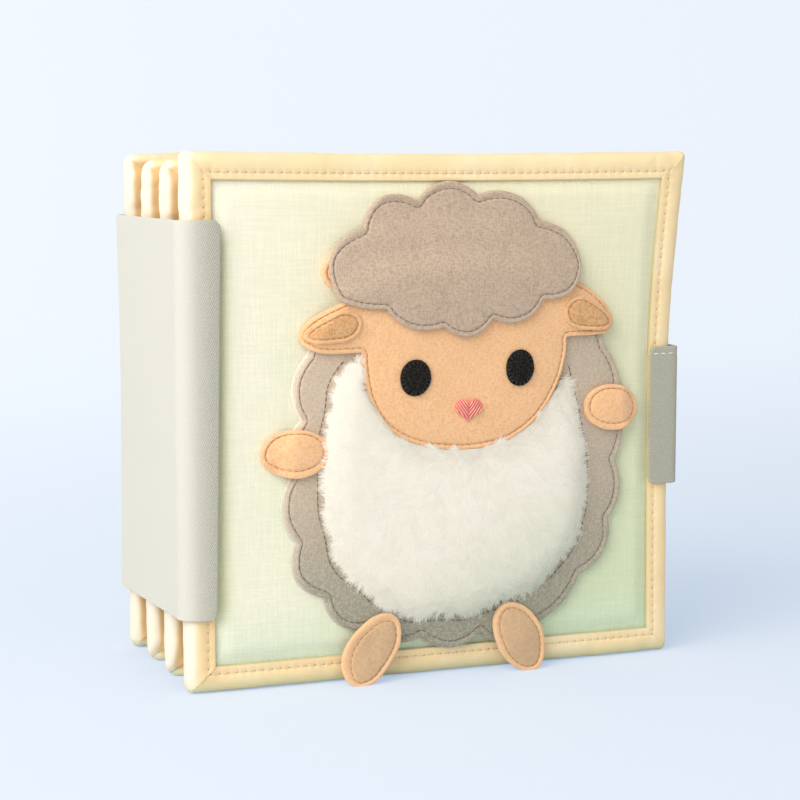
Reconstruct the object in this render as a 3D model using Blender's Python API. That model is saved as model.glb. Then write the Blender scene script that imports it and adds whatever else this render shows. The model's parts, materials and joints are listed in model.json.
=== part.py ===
"""A cloth quiet book: four quilted leaves with tape binding, a wrapped spine
band, a closure strap and a felt lamb sewn on the front cover.

Metres, +Z up. The book stands on the lower edges of its leaves. The spine is
at -X, the fore edge at +X, and the front cover faces -Y. The origin is under
the middle of the whole book.
"""

import math

import bpy
from mathutils import Matrix, Vector

# Leaves
leaf_width = 0.200
leaf_height = 0.200
leaf_thickness = 0.012
leaf_pitch = 0.027
corner_radius = 0.006
edge_draw_in = 0.0010
seam_gap = 0.0003

# Binding tape that is folded round each leaf's edge
tape_thickness = 0.0012
tape_width = 0.0105
roll_radius = 0.0045

# Cloth panels over the wadding
panel_thickness = 0.0010
panel_crown = 0.0018
crown_slope_width = 0.0050

# Spine band and the seam tapes that join the inner leaves to it
band_height = 0.150
band_thickness = 0.0016
band_wing_width = 0.0130
band_corner_radius = 0.0030
seam_tape_thickness = 0.0010
seam_tape_width = 0.0080
seam_tape_height = 0.140

# Closure strap with its hook and loop pads
strap_height = 0.056
strap_centre_z = 0.0955
strap_thickness = 0.0016
strap_stand_off = 0.0006
strap_wing_width = 0.0130
strap_corner_radius = 0.0030
fastener_thickness = 0.0007
fastener_width = 0.0085
fastener_height = 0.048

# Felt lamb: layers
felt_thickness = 0.0024
thin_felt_thickness = 0.0012
satin_thickness = 0.0008
fur_pile = 0.0060
cut_overrun = 0.0020

# Felt lamb: each piece's centre from the spine edge and the foot of the leaf,
# and its half width and half height
head_centre = (0.1100, 0.1275)
head_half = (0.0420, 0.0402)
hair_centre = (0.1058, 0.1593)
hair_half = (0.0525, 0.0298)
hair_lobe_depth = 0.0036
body_centre = (0.1075, 0.0775)
body_half = (0.0695, 0.0692)
body_lobe_depth = 0.0034
fur_centre = (0.1074, 0.0770)
fur_half = (0.0512, 0.0500)
ear_left_centre = (0.0550, 0.1352)
ear_right_centre = (0.1626, 0.1378)
ear_half = (0.0110, 0.0088)
inner_ear_half = (0.0082, 0.0042)
ear_left_turn = math.radians(12)
ear_right_turn = math.radians(-14)
eye_left_centre = (0.0884, 0.1150)
eye_right_centre = (0.1318, 0.1171)
eye_half = (0.0063, 0.0069)
hair_valley = math.radians(6)
body_valley = math.radians(1)
nose_centre = (0.1106, 0.1022)
nose_half = (0.0062, 0.0047)
paw_left_centre = (0.0425, 0.0885)
paw_right_centre = (0.1724, 0.0996)
paw_half = (0.0126, 0.0088)
paw_left_turn = math.radians(8)
paw_right_turn = math.radians(-8)
foot_left_centre = (0.0742, 0.0146)
foot_right_centre = (0.1350, 0.0146)
foot_half = (0.0098, 0.0142)
foot_left_turn = math.radians(-32)
foot_right_turn = math.radians(24)

# Counts
leaf_count = 4
corner_steps = 3
edge_steps = 4
roll_steps = 2
hair_lobes = 10
body_lobes = 20
lobe_steps = 4
oval_steps = 20
heart_steps = 20

# Shares
fur_ring_shares = ((1.0, 0.0), (1.0, 0.45), (0.93, 0.80), (0.80, 1.0))
leaf_shape_share = 0.35
egg_share = 0.12
fur_power_shares = (3.4, 2.3)
body_power_shares = (2.8, 2.05)
hair_power_shares = (2.1, 2.5)
heart_shares = (16.0, 13.0, 5.0, 2.0, 1.0)

# Levels outwards from a leaf's middle plane
half_thickness = leaf_thickness / 2
panel_edge_level = half_thickness - tape_thickness - seam_gap
panel_middle_level = panel_edge_level + panel_crown
pad_edge_level = panel_edge_level - panel_thickness - seam_gap
face_level = max(half_thickness, panel_middle_level) + seam_gap

# Depth of the closed book, from the front cover's middle plane
back_plane = (leaf_count - 1) * leaf_pitch
leaf_edge_inset = tape_thickness + seam_gap

# Where the spine band and the strap lie, from the leaves' spine edges
band_inner = seam_tape_thickness + 2 * seam_gap
band_outer = band_inner + band_thickness
band_front = face_level + band_thickness
strap_inner = leaf_width + strap_stand_off
strap_outer = strap_inner + strap_thickness
loop_inner = leaf_width + seam_gap
hook_inner = loop_inner + fastener_thickness + seam_gap
strap_end_inner = hook_inner + fastener_thickness + seam_gap
strap_end_outer = strap_end_inner + strap_thickness
lamb_front = face_level + 2 * seam_gap + felt_thickness + fur_pile

# The origin is under the middle of the whole book
spine_x = (band_outer - strap_end_outer) / 2
front_y = (lamb_front - seam_gap - back_plane - band_front) / 2
leaf_planes = [front_y + leaf_pitch * place for place in range(leaf_count)]

# Joint axes, on the outer face of the band and of the strap
axis_x = spine_x - band_outer
strap_axis = (
    spine_x + strap_outer,
    leaf_planes[0] - face_level + seam_gap / 2,
)
axes = {
    "back_cover": (0.0, 0.0),
    "page_3": (axis_x, leaf_planes[2]),
    "page_2": (axis_x, leaf_planes[1]),
    "front_cover": (axis_x, leaf_planes[0]),
    "strap": strap_axis,
}
carried_by = {
    "page_3": "back_cover",
    "page_2": "page_3",
    "front_cover": "page_2",
    "strap": "front_cover",
}

# Colour, roughness and metallic value of each material
finishes = {
    "binding_cotton": ((0.90, 0.70, 0.42), 0.62, 0.0),
    "linen": ((0.80, 0.84, 0.66), 0.85, 0.0),
    "wadding": ((0.90, 0.90, 0.88), 0.95, 0.0),
    "band_twill": ((0.72, 0.71, 0.63), 0.85, 0.0),
    "strap_twill": ((0.45, 0.45, 0.38), 0.85, 0.0),
    "fastener": ((0.80, 0.80, 0.76), 0.90, 0.0),
    "taupe_felt": ((0.52, 0.41, 0.31), 0.95, 0.0),
    "peach_felt": ((0.91, 0.55, 0.29), 0.95, 0.0),
    "inner_ear_felt": ((0.76, 0.44, 0.21), 0.95, 0.0),
    "black_felt": ((0.012, 0.010, 0.008), 0.95, 0.0),
    "nose_thread": ((0.90, 0.26, 0.22), 0.55, 0.0),
    "white_fur": ((0.90, 0.89, 0.84), 0.95, 0.0),
}


def clear_scene():
    """Removes the objects, meshes and materials of the open file."""
    for thing in list(bpy.data.objects):
        bpy.data.objects.remove(thing, do_unlink=True)
    for mesh in list(bpy.data.meshes):
        bpy.data.meshes.remove(mesh)
    for material in list(bpy.data.materials):
        bpy.data.materials.remove(material)


def make_materials():
    """One Principled material for each finish."""
    made = {}
    for name, (colour, roughness, metallic) in finishes.items():
        material = bpy.data.materials.new(name)
        material.use_nodes = True
        shader = material.node_tree.nodes["Principled BSDF"]
        shader.inputs["Base Color"].default_value = (*colour, 1)
        shader.inputs["Roughness"].default_value = roughness
        shader.inputs["Metallic"].default_value = metallic
        material.diffuse_color = (*colour, 1)
        made[name] = material
    return made


def make_axes():
    """An empty on each joint axis, parented as the bodies are carried."""
    empties = {}
    for body, (x, y) in axes.items():
        empty = bpy.data.objects.new(body + "_axis", None)
        bpy.context.collection.objects.link(empty)
        carrier = carried_by.get(body)
        if carrier:
            empty.parent = empties[carrier]
            x, y = x - axes[carrier][0], y - axes[carrier][1]
        empty.location = (x, y, 0)
        empties[body] = empty
    return empties


def add_body(name, points, faces, body, finish):
    """Adds a closed mesh given in world coordinates, carried by a body."""
    mesh = bpy.data.meshes.new(name)
    mesh.from_pydata([tuple(p) for p in points], [], faces)
    mesh.transform(Matrix.Translation((-axes[body][0], -axes[body][1], 0)))
    mesh.validate()
    mesh.materials.append(materials[finish])
    thing = bpy.data.objects.new(name, mesh)
    bpy.context.collection.objects.link(thing)
    thing.parent = empties[body]
    return thing


def loft(rings, closed):
    """Points and faces of rings of equal length joined one to the next.

    An open loft is capped at both ends. A closed one joins its last ring to
    its first.
    """
    count = len(rings[0])
    points = [Vector(p) for ring in rings for p in ring]
    faces = []
    pairs = len(rings) if closed else len(rings) - 1
    for a in range(pairs):
        b = (a + 1) % len(rings)
        for k in range(count):
            n = (k + 1) % count
            faces.append((a * count + k, a * count + n, b * count + n, b * count + k))
    if not closed:
        last = (len(rings) - 1) * count
        faces.append(tuple(reversed(range(count))))
        faces.append(tuple(last + k for k in range(count)))
    return points, faces


def outwards(points, faces):
    """The same faces, turned to face outwards if they face inwards."""
    volume = 0
    for face in faces:
        for k in range(1, len(face) - 1):
            a, b, c = (points[i] for i in (face[0], face[k], face[k + 1]))
            volume += a.dot(b.cross(c))
    return faces if volume > 0 else [tuple(reversed(face)) for face in faces]


def add_loft(name, rings, body, finish, closed=False):
    """Adds a lofted solid with its faces outwards."""
    points, faces = loft(rings, closed)
    return add_body(name, points, outwards(points, faces), body, finish)


def leaf_outline(inset):
    """(x, z) round a leaf's edge, counter-clockwise, moved in by inset.

    The top edge and the fore edge are drawn in between their corners by the
    wadding, by half a sine wave. The foot and the spine edge are straight.
    """
    radius = max(corner_radius - inset, seam_gap)
    low = inset + radius
    right = leaf_width - low
    high = leaf_height - low
    corners = [
        (right, low, -90),
        (right, high, 0),
        (low, high, 90),
        (low, low, 180),
    ]
    points = []
    for x, z, start in corners:
        for step in range(corner_steps + 1):
            angle = math.radians(start + 90 * step / corner_steps)
            points.append((x + radius * math.cos(angle), z + radius * math.sin(angle)))
        points.append(None)
    outline = []
    for i, point in enumerate(points):
        if point is not None:
            outline.append(point)
            continue
        before, after = points[i - 1], points[(i + 1) % len(points)]
        for step in range(1, edge_steps):
            share = step / edge_steps
            bow = edge_draw_in * math.sin(math.pi * share)
            x = before[0] + (after[0] - before[0]) * share
            z = before[1] + (after[1] - before[1]) * share
            if before[1] > leaf_height / 2 and after[1] > leaf_height / 2:
                z -= bow
            if before[0] > leaf_width / 2 and after[0] > leaf_width / 2:
                x -= bow
            outline.append((x, z))
    return outline


def leaf_ring(plane, inset, level):
    """A ring round a leaf, at an inset and at a level from its middle plane."""
    return [(spine_x + x, plane + level, z) for x, z in leaf_outline(inset)]


def add_binding(name, plane, body):
    """Tape folded round the leaf's edge: a U profile carried round the leaf."""
    profile = []
    inner_radius = roll_radius - tape_thickness
    for radius, side, from_face in (
        (roll_radius, -1, True),
        (roll_radius, 1, False),
        (inner_radius, 1, True),
        (inner_radius, -1, False),
    ):
        face = half_thickness - roll_radius + radius
        bend = [(tape_width, side * face)]
        for step in range(roll_steps + 1):
            turn = math.pi / 2 * step / roll_steps
            level = face - radius * (1 - math.cos(turn))
            bend.append((roll_radius - radius * math.sin(turn), side * level))
        profile += bend if from_face else bend[::-1]
    rings = [leaf_ring(plane, inset, level) for inset, level in profile]
    add_loft(name, rings, body, "binding_cotton", closed=True)


def add_panel(name, plane, side, body):
    """A cloth panel whose middle is crowned and whose edge is in the binding."""
    slope_start = tape_width + seam_gap
    slope_end = tape_width + crown_slope_width
    outer = [
        (slope_end, panel_middle_level),
        (slope_start, panel_edge_level),
        (roll_radius, panel_edge_level),
    ]
    inner = [(inset, level - panel_thickness) for inset, level in reversed(outer)]
    rings = [leaf_ring(plane, inset, side * level) for inset, level in outer + inner]
    add_loft(name, rings, body, "linen")


def add_wadding(name, plane, body):
    """The leaf's wadding: crowned on both faces, with drawn-in sides."""
    slope_start = tape_width + seam_gap
    slope_end = tape_width + crown_slope_width
    half = [
        (slope_end, pad_edge_level + panel_crown),
        (slope_start, pad_edge_level),
        (roll_radius, pad_edge_level),
        (leaf_edge_inset, half_thickness - roll_radius),
    ]
    rings = [leaf_ring(plane, inset, level) for inset, level in half]
    rings += [leaf_ring(plane, inset, -level) for inset, level in reversed(half)]
    add_loft(name, rings, body, "wadding")


def add_leaf(name, plane, body):
    """One leaf: wadding, an outer and an inner panel, and the binding."""
    add_wadding(name + "_wadding", plane, body)
    add_panel(name + "_outer_panel", plane, -1, body)
    add_panel(name + "_inner_panel", plane, 1, body)
    add_binding(name + "_binding", plane, body)


def rounded_rectangle(low, high, radius):
    """(x, z) of an upright rectangle with round corners."""
    points = []
    corners = [
        (high[0], low[1], -1, 1, -90),
        (high[0], high[1], -1, -1, 0),
        (low[0], high[1], 1, -1, 90),
        (low[0], low[1], 1, 1, 180),
    ]
    for x, z, inward_x, inward_z, start in corners:
        for step in range(corner_steps + 1):
            angle = math.radians(start + 90 * step / corner_steps)
            points.append((
                x + radius * (inward_x + math.cos(angle)),
                z + radius * (inward_z + math.sin(angle)),
            ))
    return points


def add_slab(name, outline, near, far, body, finish):
    """An (x, z) outline extruded from one depth to another."""
    rings = [[(spine_x + x, y, z) for x, z in outline] for y in (near, far)]
    return add_loft(name, rings, body, finish)


def add_cloth(name, section, foot, height, body, finish, tip_radius=0):
    """Cloth of one (x, y) section, extruded upwards from its foot.

    The section's first and last points are the tip of the cloth, whose two
    corners are rounded where a tip radius is given.
    """
    rings = [[(x, y, z) for x, y in section] for z in (foot, foot + height)]
    cloth = add_loft(name, rings, body, finish)
    if not tip_radius:
        return cloth
    bevel = cloth.modifiers.new("round_corners", "BEVEL")
    bevel.width = tip_radius
    bevel.segments = corner_steps
    bevel.limit_method = "WEIGHT"
    weights = cloth.data.attributes.new("bevel_weight_edge", "FLOAT", "EDGE")
    tips = (section[0], section[-1])
    for edge in cloth.data.edges:
        ends = [cloth.data.vertices[i].co for i in edge.vertices]
        flat = abs(ends[0].z - ends[1].z) < seam_gap
        at_tip = all(
            any(
                abs(end.x + axes[body][0] - x) < seam_gap / 2
                and abs(end.y + axes[body][1] - y) < seam_gap / 2
                for x, y in tips
            )
            for end in ends
        )
        weights.data[edge.index].value = 1.0 if flat and at_tip else 0.0
    return cloth


def add_spine_band():
    """The band in four lengths that meet at the leaves' joint axes."""
    foot = (leaf_height - band_height) / 2
    outer, inner = spine_x - band_outer, spine_x - band_inner
    wing_tip = spine_x + band_wing_width
    half_gap = seam_gap / 2
    for name, body, near, far in (
        ("spine_band_page_3", "page_3", leaf_planes[1], leaf_planes[2]),
        ("spine_band_page_2", "page_2", leaf_planes[0], leaf_planes[1]),
    ):
        section = [
            (outer, near + half_gap),
            (outer, far - half_gap),
            (inner, far - half_gap),
            (inner, near + half_gap),
        ]
        add_cloth(name, section, foot, band_height, body, "band_twill")
    for name, body, plane, side in (
        ("spine_band_front_wing", "front_cover", leaf_planes[0], -1),
        ("spine_band_back_wing", "back_cover", leaf_planes[3], 1),
    ):
        edge = leaf_planes[0] - half_gap if side < 0 else leaf_planes[2] + half_gap
        outside = plane + side * band_front
        inside = plane + side * face_level
        round_in = band_thickness
        section = [
            (wing_tip, outside),
            (outer + round_in, outside),
            (outer, outside - side * round_in),
            (outer, edge),
            (inner, edge),
            (inner, inside),
            (wing_tip, inside),
        ]
        add_cloth(name, section, foot, band_height, body, "band_twill", band_corner_radius)


def add_seam_tapes():
    """The tape at each inner leaf's spine edge, sewn to leaf and band."""
    foot = (leaf_height - seam_tape_height) / 2
    for name, body, plane in (
        ("seam_tape_2", "page_2", leaf_planes[1]),
        ("seam_tape_3", "page_3", leaf_planes[2]),
    ):
        near, far = spine_x - seam_gap - seam_tape_thickness, spine_x - seam_gap
        half = seam_tape_width / 2
        section = [
            (near, plane - half),
            (near, plane + half),
            (far, plane + half),
            (far, plane - half),
        ]
        add_cloth(name, section, foot, seam_tape_height, body, "binding_cotton")


def add_closure():
    """The strap, sewn on the front cover and run round the fore edge.

    Its free end lies on the back cover's fore edge, where a hook pad on the
    strap holds to a loop pad on the cover.
    """
    foot = strap_centre_z - strap_height / 2
    front_inside = leaf_planes[0] - face_level
    front_outside = front_inside - strap_thickness
    outer, inner = spine_x + strap_outer, spine_x + strap_inner
    wing_tip = spine_x + leaf_width - strap_wing_width
    round_in = strap_thickness / 2
    sewn = [
        (wing_tip, front_outside),
        (outer - round_in, front_outside),
        (outer, front_outside + round_in),
        (outer, front_inside),
        (wing_tip, front_inside),
    ]
    add_cloth("strap_sewn_end", sewn, foot, strap_height, "front_cover", "strap_twill",
              strap_corner_radius)
    free_end = leaf_planes[3] + half_thickness
    swung = [
        (spine_x + strap_end_outer, free_end),
        (outer, front_inside + seam_gap),
        (inner, front_inside + seam_gap),
        (spine_x + strap_end_inner, free_end),
    ]
    add_cloth("closure_strap", swung, foot, strap_height, "strap", "strap_twill",
              strap_corner_radius)
    half_width, half_height = fastener_width / 2, fastener_height / 2
    outline = rounded_rectangle((-half_width, -half_height), (half_width, half_height),
                                strap_corner_radius)
    for name, pad_inner, body in (
        ("loop_pad", loop_inner, "back_cover"),
        ("hook_pad", hook_inner, "strap"),
    ):
        rings = [
            [(spine_x + level, leaf_planes[3] + y, strap_centre_z + z) for y, z in outline]
            for level in (pad_inner, pad_inner + fastener_thickness)
        ]
        add_loft(name, rings, body, "fastener")


def oval(centre, half, turn=0, egg=0.0):
    """(x, z) of an oval whose foot end is wider by the egg share, turned."""
    points = []
    for step in range(oval_steps):
        angle = 2 * math.pi * step / oval_steps
        x = half[0] * math.cos(angle) * (1 - egg * math.sin(angle))
        z = half[1] * math.sin(angle)
        points.append(turned(centre, x, z, turn))
    return points


def leaf_shape(centre, half, turn, tip_side):
    """(x, z) of an ear: an oval drawn to a blunt point on one side."""
    points = []
    for step in range(oval_steps):
        angle = 2 * math.pi * step / oval_steps
        taper = 1 - leaf_shape_share * (1 + tip_side * math.cos(angle)) / 2
        x = half[0] * math.cos(angle)
        z = half[1] * math.sin(angle) * taper
        points.append(turned(centre, x, z, turn))
    return points


def turned(centre, x, z, turn):
    """A point at (x, z) from a centre, turned about it."""
    return (
        centre[0] + x * math.cos(turn) - z * math.sin(turn),
        centre[1] + x * math.sin(turn) + z * math.cos(turn),
    )


def squared_reach(half, power_shares, angle):
    """How far an oval reaches at an angle from its centre.

    The oval is squarer where its power is over 2, with one power for its
    upper half and one for its lower half.
    """
    power = power_shares[0] if math.sin(angle) > 0 else power_shares[1]
    across = abs(math.cos(angle)) / half[0]
    along = abs(math.sin(angle)) / half[1]
    return (across ** power + along ** power) ** (-1 / power)


def scalloped(centre, half, power_shares, lobes, depth, valley):
    """(x, z) of an oval edged with round lobes: half a sine wave each."""
    points = []
    count = lobes * lobe_steps
    for step in range(count):
        angle = 2 * math.pi * step / count + valley
        hollow = depth * (1 - abs(math.sin(math.pi * step / lobe_steps)))
        reach = squared_reach(half, power_shares, angle) - hollow
        points.append((
            centre[0] + reach * math.cos(angle),
            centre[1] + reach * math.sin(angle),
        ))
    return points


def bib_shape(scale):
    """(x, z) of the fur: an oval that is squarer above than below."""
    points = []
    count = 2 * oval_steps
    for step in range(count):
        angle = 2 * math.pi * step / count
        reach = scale * squared_reach(fur_half, fur_power_shares, angle)
        points.append((
            fur_centre[0] + reach * math.cos(angle),
            fur_centre[1] + reach * math.sin(angle),
        ))
    return points


def heart(centre, half):
    """(x, z) of a heart, point down, by the usual sine and cosine sums."""
    a, b, c, d, e = heart_shares
    points = []
    for step in range(heart_steps):
        t = 2 * math.pi * step / heart_steps
        x = a * math.sin(t) ** 3
        z = b * math.cos(t) - c * math.cos(2 * t) - d * math.cos(3 * t) - e * math.cos(4 * t)
        points.append((centre[0] - half[0] * x / a, centre[1] + half[1] * z / (b + e)))
    return points


def add_lamb():
    """The felt lamb: layers from the cover outwards, a seam gap apart."""
    cover = leaf_planes[0] - face_level
    on_body = cover - felt_thickness - seam_gap
    on_head = on_body - felt_thickness - seam_gap

    def felt(name, outline, level, thickness, finish):
        return add_slab(name, outline, level, level - thickness, "front_cover", finish)

    felt("lamb_body", scalloped(body_centre, body_half, body_power_shares, body_lobes,
                                 body_lobe_depth, body_valley),
         cover, felt_thickness, "taupe_felt")
    felt("lamb_head", oval(head_centre, head_half), on_body, felt_thickness, "peach_felt")
    felt("lamb_hair", scalloped(hair_centre, hair_half, hair_power_shares, hair_lobes,
                                 hair_lobe_depth, hair_valley),
         on_head, felt_thickness, "taupe_felt")
    rings = [
        [(spine_x + x, on_body - fur_pile * share, z) for x, z in bib_shape(scale)]
        for scale, share in fur_ring_shares
    ]
    fur = add_loft("lamb_belly_fur", rings, "front_cover", "white_fur")
    wide_head = (head_half[0] + seam_gap, head_half[1] + seam_gap)
    cutter = add_slab("fur_cutter", oval(head_centre, wide_head), cover,
                      on_body - fur_pile - cut_overrun, "front_cover", "peach_felt")
    cutter.hide_render = True
    cutter.display_type = "WIRE"
    cut = fur.modifiers.new("head_room", "BOOLEAN")
    cut.object = cutter
    cut.operation = "DIFFERENCE"
    cut.solver = "EXACT"
    for side, centre, turn, tip in (
        ("left", ear_left_centre, ear_left_turn, 1),
        ("right", ear_right_centre, ear_right_turn, -1),
    ):
        felt("lamb_ear_" + side, leaf_shape(centre, ear_half, turn, tip),
             on_body, felt_thickness, "peach_felt")
        felt("lamb_inner_ear_" + side, leaf_shape(centre, inner_ear_half, turn, tip),
             on_head, thin_felt_thickness, "inner_ear_felt")
    for side, centre in (("left", eye_left_centre), ("right", eye_right_centre)):
        felt("lamb_eye_" + side, oval(centre, eye_half), on_head, thin_felt_thickness, "black_felt")
    felt("lamb_nose", heart(nose_centre, nose_half), on_head, satin_thickness, "nose_thread")
    for name, centre, half, turn in (
        ("lamb_paw_left", paw_left_centre, paw_half, paw_left_turn),
        ("lamb_paw_right", paw_right_centre, paw_half, paw_right_turn),
        ("lamb_foot_left", foot_left_centre, foot_half, foot_left_turn),
        ("lamb_foot_right", foot_right_centre, foot_half, foot_right_turn),
    ):
        felt(name, oval(centre, half, turn, egg_share), on_body, felt_thickness, "peach_felt")


clear_scene()
materials = make_materials()
empties = make_axes()
add_leaf("front_cover", leaf_planes[0], "front_cover")
add_leaf("page_2", leaf_planes[1], "page_2")
add_leaf("page_3", leaf_planes[2], "page_3")
add_leaf("back_cover", leaf_planes[3], "back_cover")
add_spine_band()
add_seam_tapes()
add_closure()
add_lamb()
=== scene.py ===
"""Looks of a cloth quiet book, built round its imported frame.

Four quilted linen leaves have a satin binding tape round their edges. A twill
band wraps the spine, a twill strap wraps the fore edge, and a felt lamb with a
fur belly is sewn on the front cover. Metres, +Z up, the front cover faces -Y.
"""

import json
import logging
import math
from dataclasses import dataclass
from enum import Enum
from typing import Callable, Optional, Sequence, Union

import bpy
import numpy as np
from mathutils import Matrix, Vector
from mathutils.geometry import delaunay_2d_cdt


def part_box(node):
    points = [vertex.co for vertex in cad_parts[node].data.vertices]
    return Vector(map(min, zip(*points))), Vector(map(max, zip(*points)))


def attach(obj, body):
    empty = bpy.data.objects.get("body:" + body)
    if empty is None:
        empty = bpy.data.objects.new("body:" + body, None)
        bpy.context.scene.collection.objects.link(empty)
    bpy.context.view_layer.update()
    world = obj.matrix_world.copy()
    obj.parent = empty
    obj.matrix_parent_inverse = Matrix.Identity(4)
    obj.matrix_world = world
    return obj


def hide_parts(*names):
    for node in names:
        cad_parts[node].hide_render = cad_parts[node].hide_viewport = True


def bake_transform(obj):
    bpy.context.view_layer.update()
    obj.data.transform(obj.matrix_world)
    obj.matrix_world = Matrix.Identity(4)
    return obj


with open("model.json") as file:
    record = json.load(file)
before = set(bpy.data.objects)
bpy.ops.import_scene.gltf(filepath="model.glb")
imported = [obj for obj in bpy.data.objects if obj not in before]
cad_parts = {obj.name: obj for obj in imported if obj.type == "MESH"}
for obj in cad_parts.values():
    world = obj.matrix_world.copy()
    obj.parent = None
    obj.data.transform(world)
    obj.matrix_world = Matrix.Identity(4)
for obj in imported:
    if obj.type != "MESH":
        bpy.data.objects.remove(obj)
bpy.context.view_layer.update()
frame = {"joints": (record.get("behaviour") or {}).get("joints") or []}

logging.basicConfig(level=logging.INFO, format="%(name)s: %(message)s")
log = logging.getLogger("quiet_book")

Array = np.ndarray
Colour = tuple[float, float, float]
Pair = tuple[float, float]
Insets = tuple[float, float, float, float]
Material = bpy.types.Material
MM = 0.001
STITCH_INSET = 7.5 * MM
STITCH_PITCH = 3.4 * MM
OUT_OF_COVER = np.array([0.0, -1.0, 0.0])


class Side(Enum):
    """Which way a leaf's face looks."""

    OUTER = -1
    INNER = 1


# Plain arithmetic on arrays


def ease(value: Array, low: float, high: float) -> Array:
    """Rises smoothly from 0 at low to 1 at high, as t * t * (3 - 2 * t).

    Args:
        value: Where to read the curve.
        low: The value at which it starts.
        high: The value at which it ends.

    Returns:
        The risen share, in the shape of value.
    """
    share = np.clip((np.asarray(value, float) - low) / (high - low), 0, 1)
    return share * share * (3 - 2 * share)


def bump_at(value: Array, centre: float, width: float) -> Array:
    """A bell curve of height 1: exp(-((value - centre) / width) ** 2)."""
    return np.exp(-(((value - centre) / width) ** 2))


def ripple(place: Array, seed: int, longest: float, waves: int = 5) -> Array:
    """A slow random wave: a sum of sines, each shorter and lower than the last.

    Args:
        place: Distance along the cloth.
        seed: Fixes the random phases.
        longest: The longest wave.
        waves: How many sines are added.

    Returns:
        Heights of about -1 to 1.
    """
    draw = np.random.default_rng(seed)
    height = np.zeros_like(np.asarray(place, float))
    for order in range(waves):
        length = longest / (1 + 0.9 * order)
        phase = draw.uniform(0, 2 * np.pi)
        height = height + np.sin(2 * np.pi * place / length + phase) / (1 + order)
    return height / 1.6


def grid_faces(rows: int, columns: int, close_rows: bool = False,
               close_columns: bool = False, start: int = 0) -> Array:
    """Quads that join the points of a grid, row by row.

    Args:
        rows: Number of rows.
        columns: Number of points in a row.
        close_rows: Joins the last row to the first.
        close_columns: Joins the last column to the first.
        start: Index of the grid's first point.

    Returns:
        An array of four point indices a face.
    """
    index = np.arange(rows * columns).reshape(rows, columns) + start
    if close_rows:
        index = np.vstack([index, index[:1]])
    if close_columns:
        index = np.hstack([index, index[:, :1]])
    corners = (index[:-1, :-1], index[:-1, 1:], index[1:, 1:], index[1:, :-1])
    return np.stack(corners, -1).reshape(-1, 4)


def fan_faces(ring: Array, pole: int, turned: bool) -> Array:
    """Triangles from a closed ring of point indices to one pole point.

    Args:
        ring: Indices of the ring's points.
        pole: Index of the pole.
        turned: Turns each triangle round.

    Returns:
        An array of three point indices a face.
    """
    after = np.roll(ring, -1)
    pair = (after, ring) if turned else (ring, after)
    return np.stack([*pair, np.full(len(ring), pole)], -1)


def capped(rings: Array, poles: Sequence[Array]) -> tuple[Array, list[Array]]:
    """Closed rings in a row, the first and the last filled from a pole each.

    Args:
        rings: (rows, columns, 3) points.
        poles: The first ring's pole and the last one's.

    Returns:
        All the points, and the blocks of faces.
    """
    rows, columns = rings.shape[:2]
    count, ring = rows * columns, np.arange(columns)
    fans = [fan_faces(ring, count, True), fan_faces(ring + count - columns, count + 1, False)]
    points = np.concatenate([rings.reshape(-1, 3), np.reshape(poles, (-1, 3))])
    return points, [grid_faces(rows, columns, close_columns=True), np.concatenate(fans)]


def run_of(line: Array) -> Array:
    """Distance along a line at each of its points."""
    steps = np.linalg.norm(np.diff(line, axis=0), axis=1)
    return np.concatenate([[0.0], np.cumsum(steps)])


def read_along(where: Array, along: Array, line: Array) -> Array:
    """Points at distances along a line, whose own points lie at the distances along."""
    return np.stack([np.interp(where, along, part) for part in line.T], -1)


def angles(count: int) -> Array:
    """Even angles round a circle, anticlockwise."""
    return 2 * np.pi * np.arange(count) / count


def on_rays(centre: Sequence[float], far: Array, angle: Array) -> tuple[Array, Array]:
    """Places at a distance from a centre, at each angle."""
    return centre[0] + far * np.cos(angle), centre[1] + far * np.sin(angle)


def volume(points: Array, faces: Sequence[Array]) -> float:
    """Signed volume: the sum of each triangle's a . (b x c) / 6.

    Args:
        points: (count, 3) points.
        faces: Blocks of faces.

    Returns:
        The volume, above 0 where the faces point outwards.
    """
    total = 0.0
    for block in faces:
        for corner in range(1, block.shape[1] - 1):
            a, b, c = points[block[:, 0]], points[block[:, corner]], points[block[:, corner + 1]]
            total += float(np.einsum("ij,ij->", a, np.cross(b, c))) / 6
    return total


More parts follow.
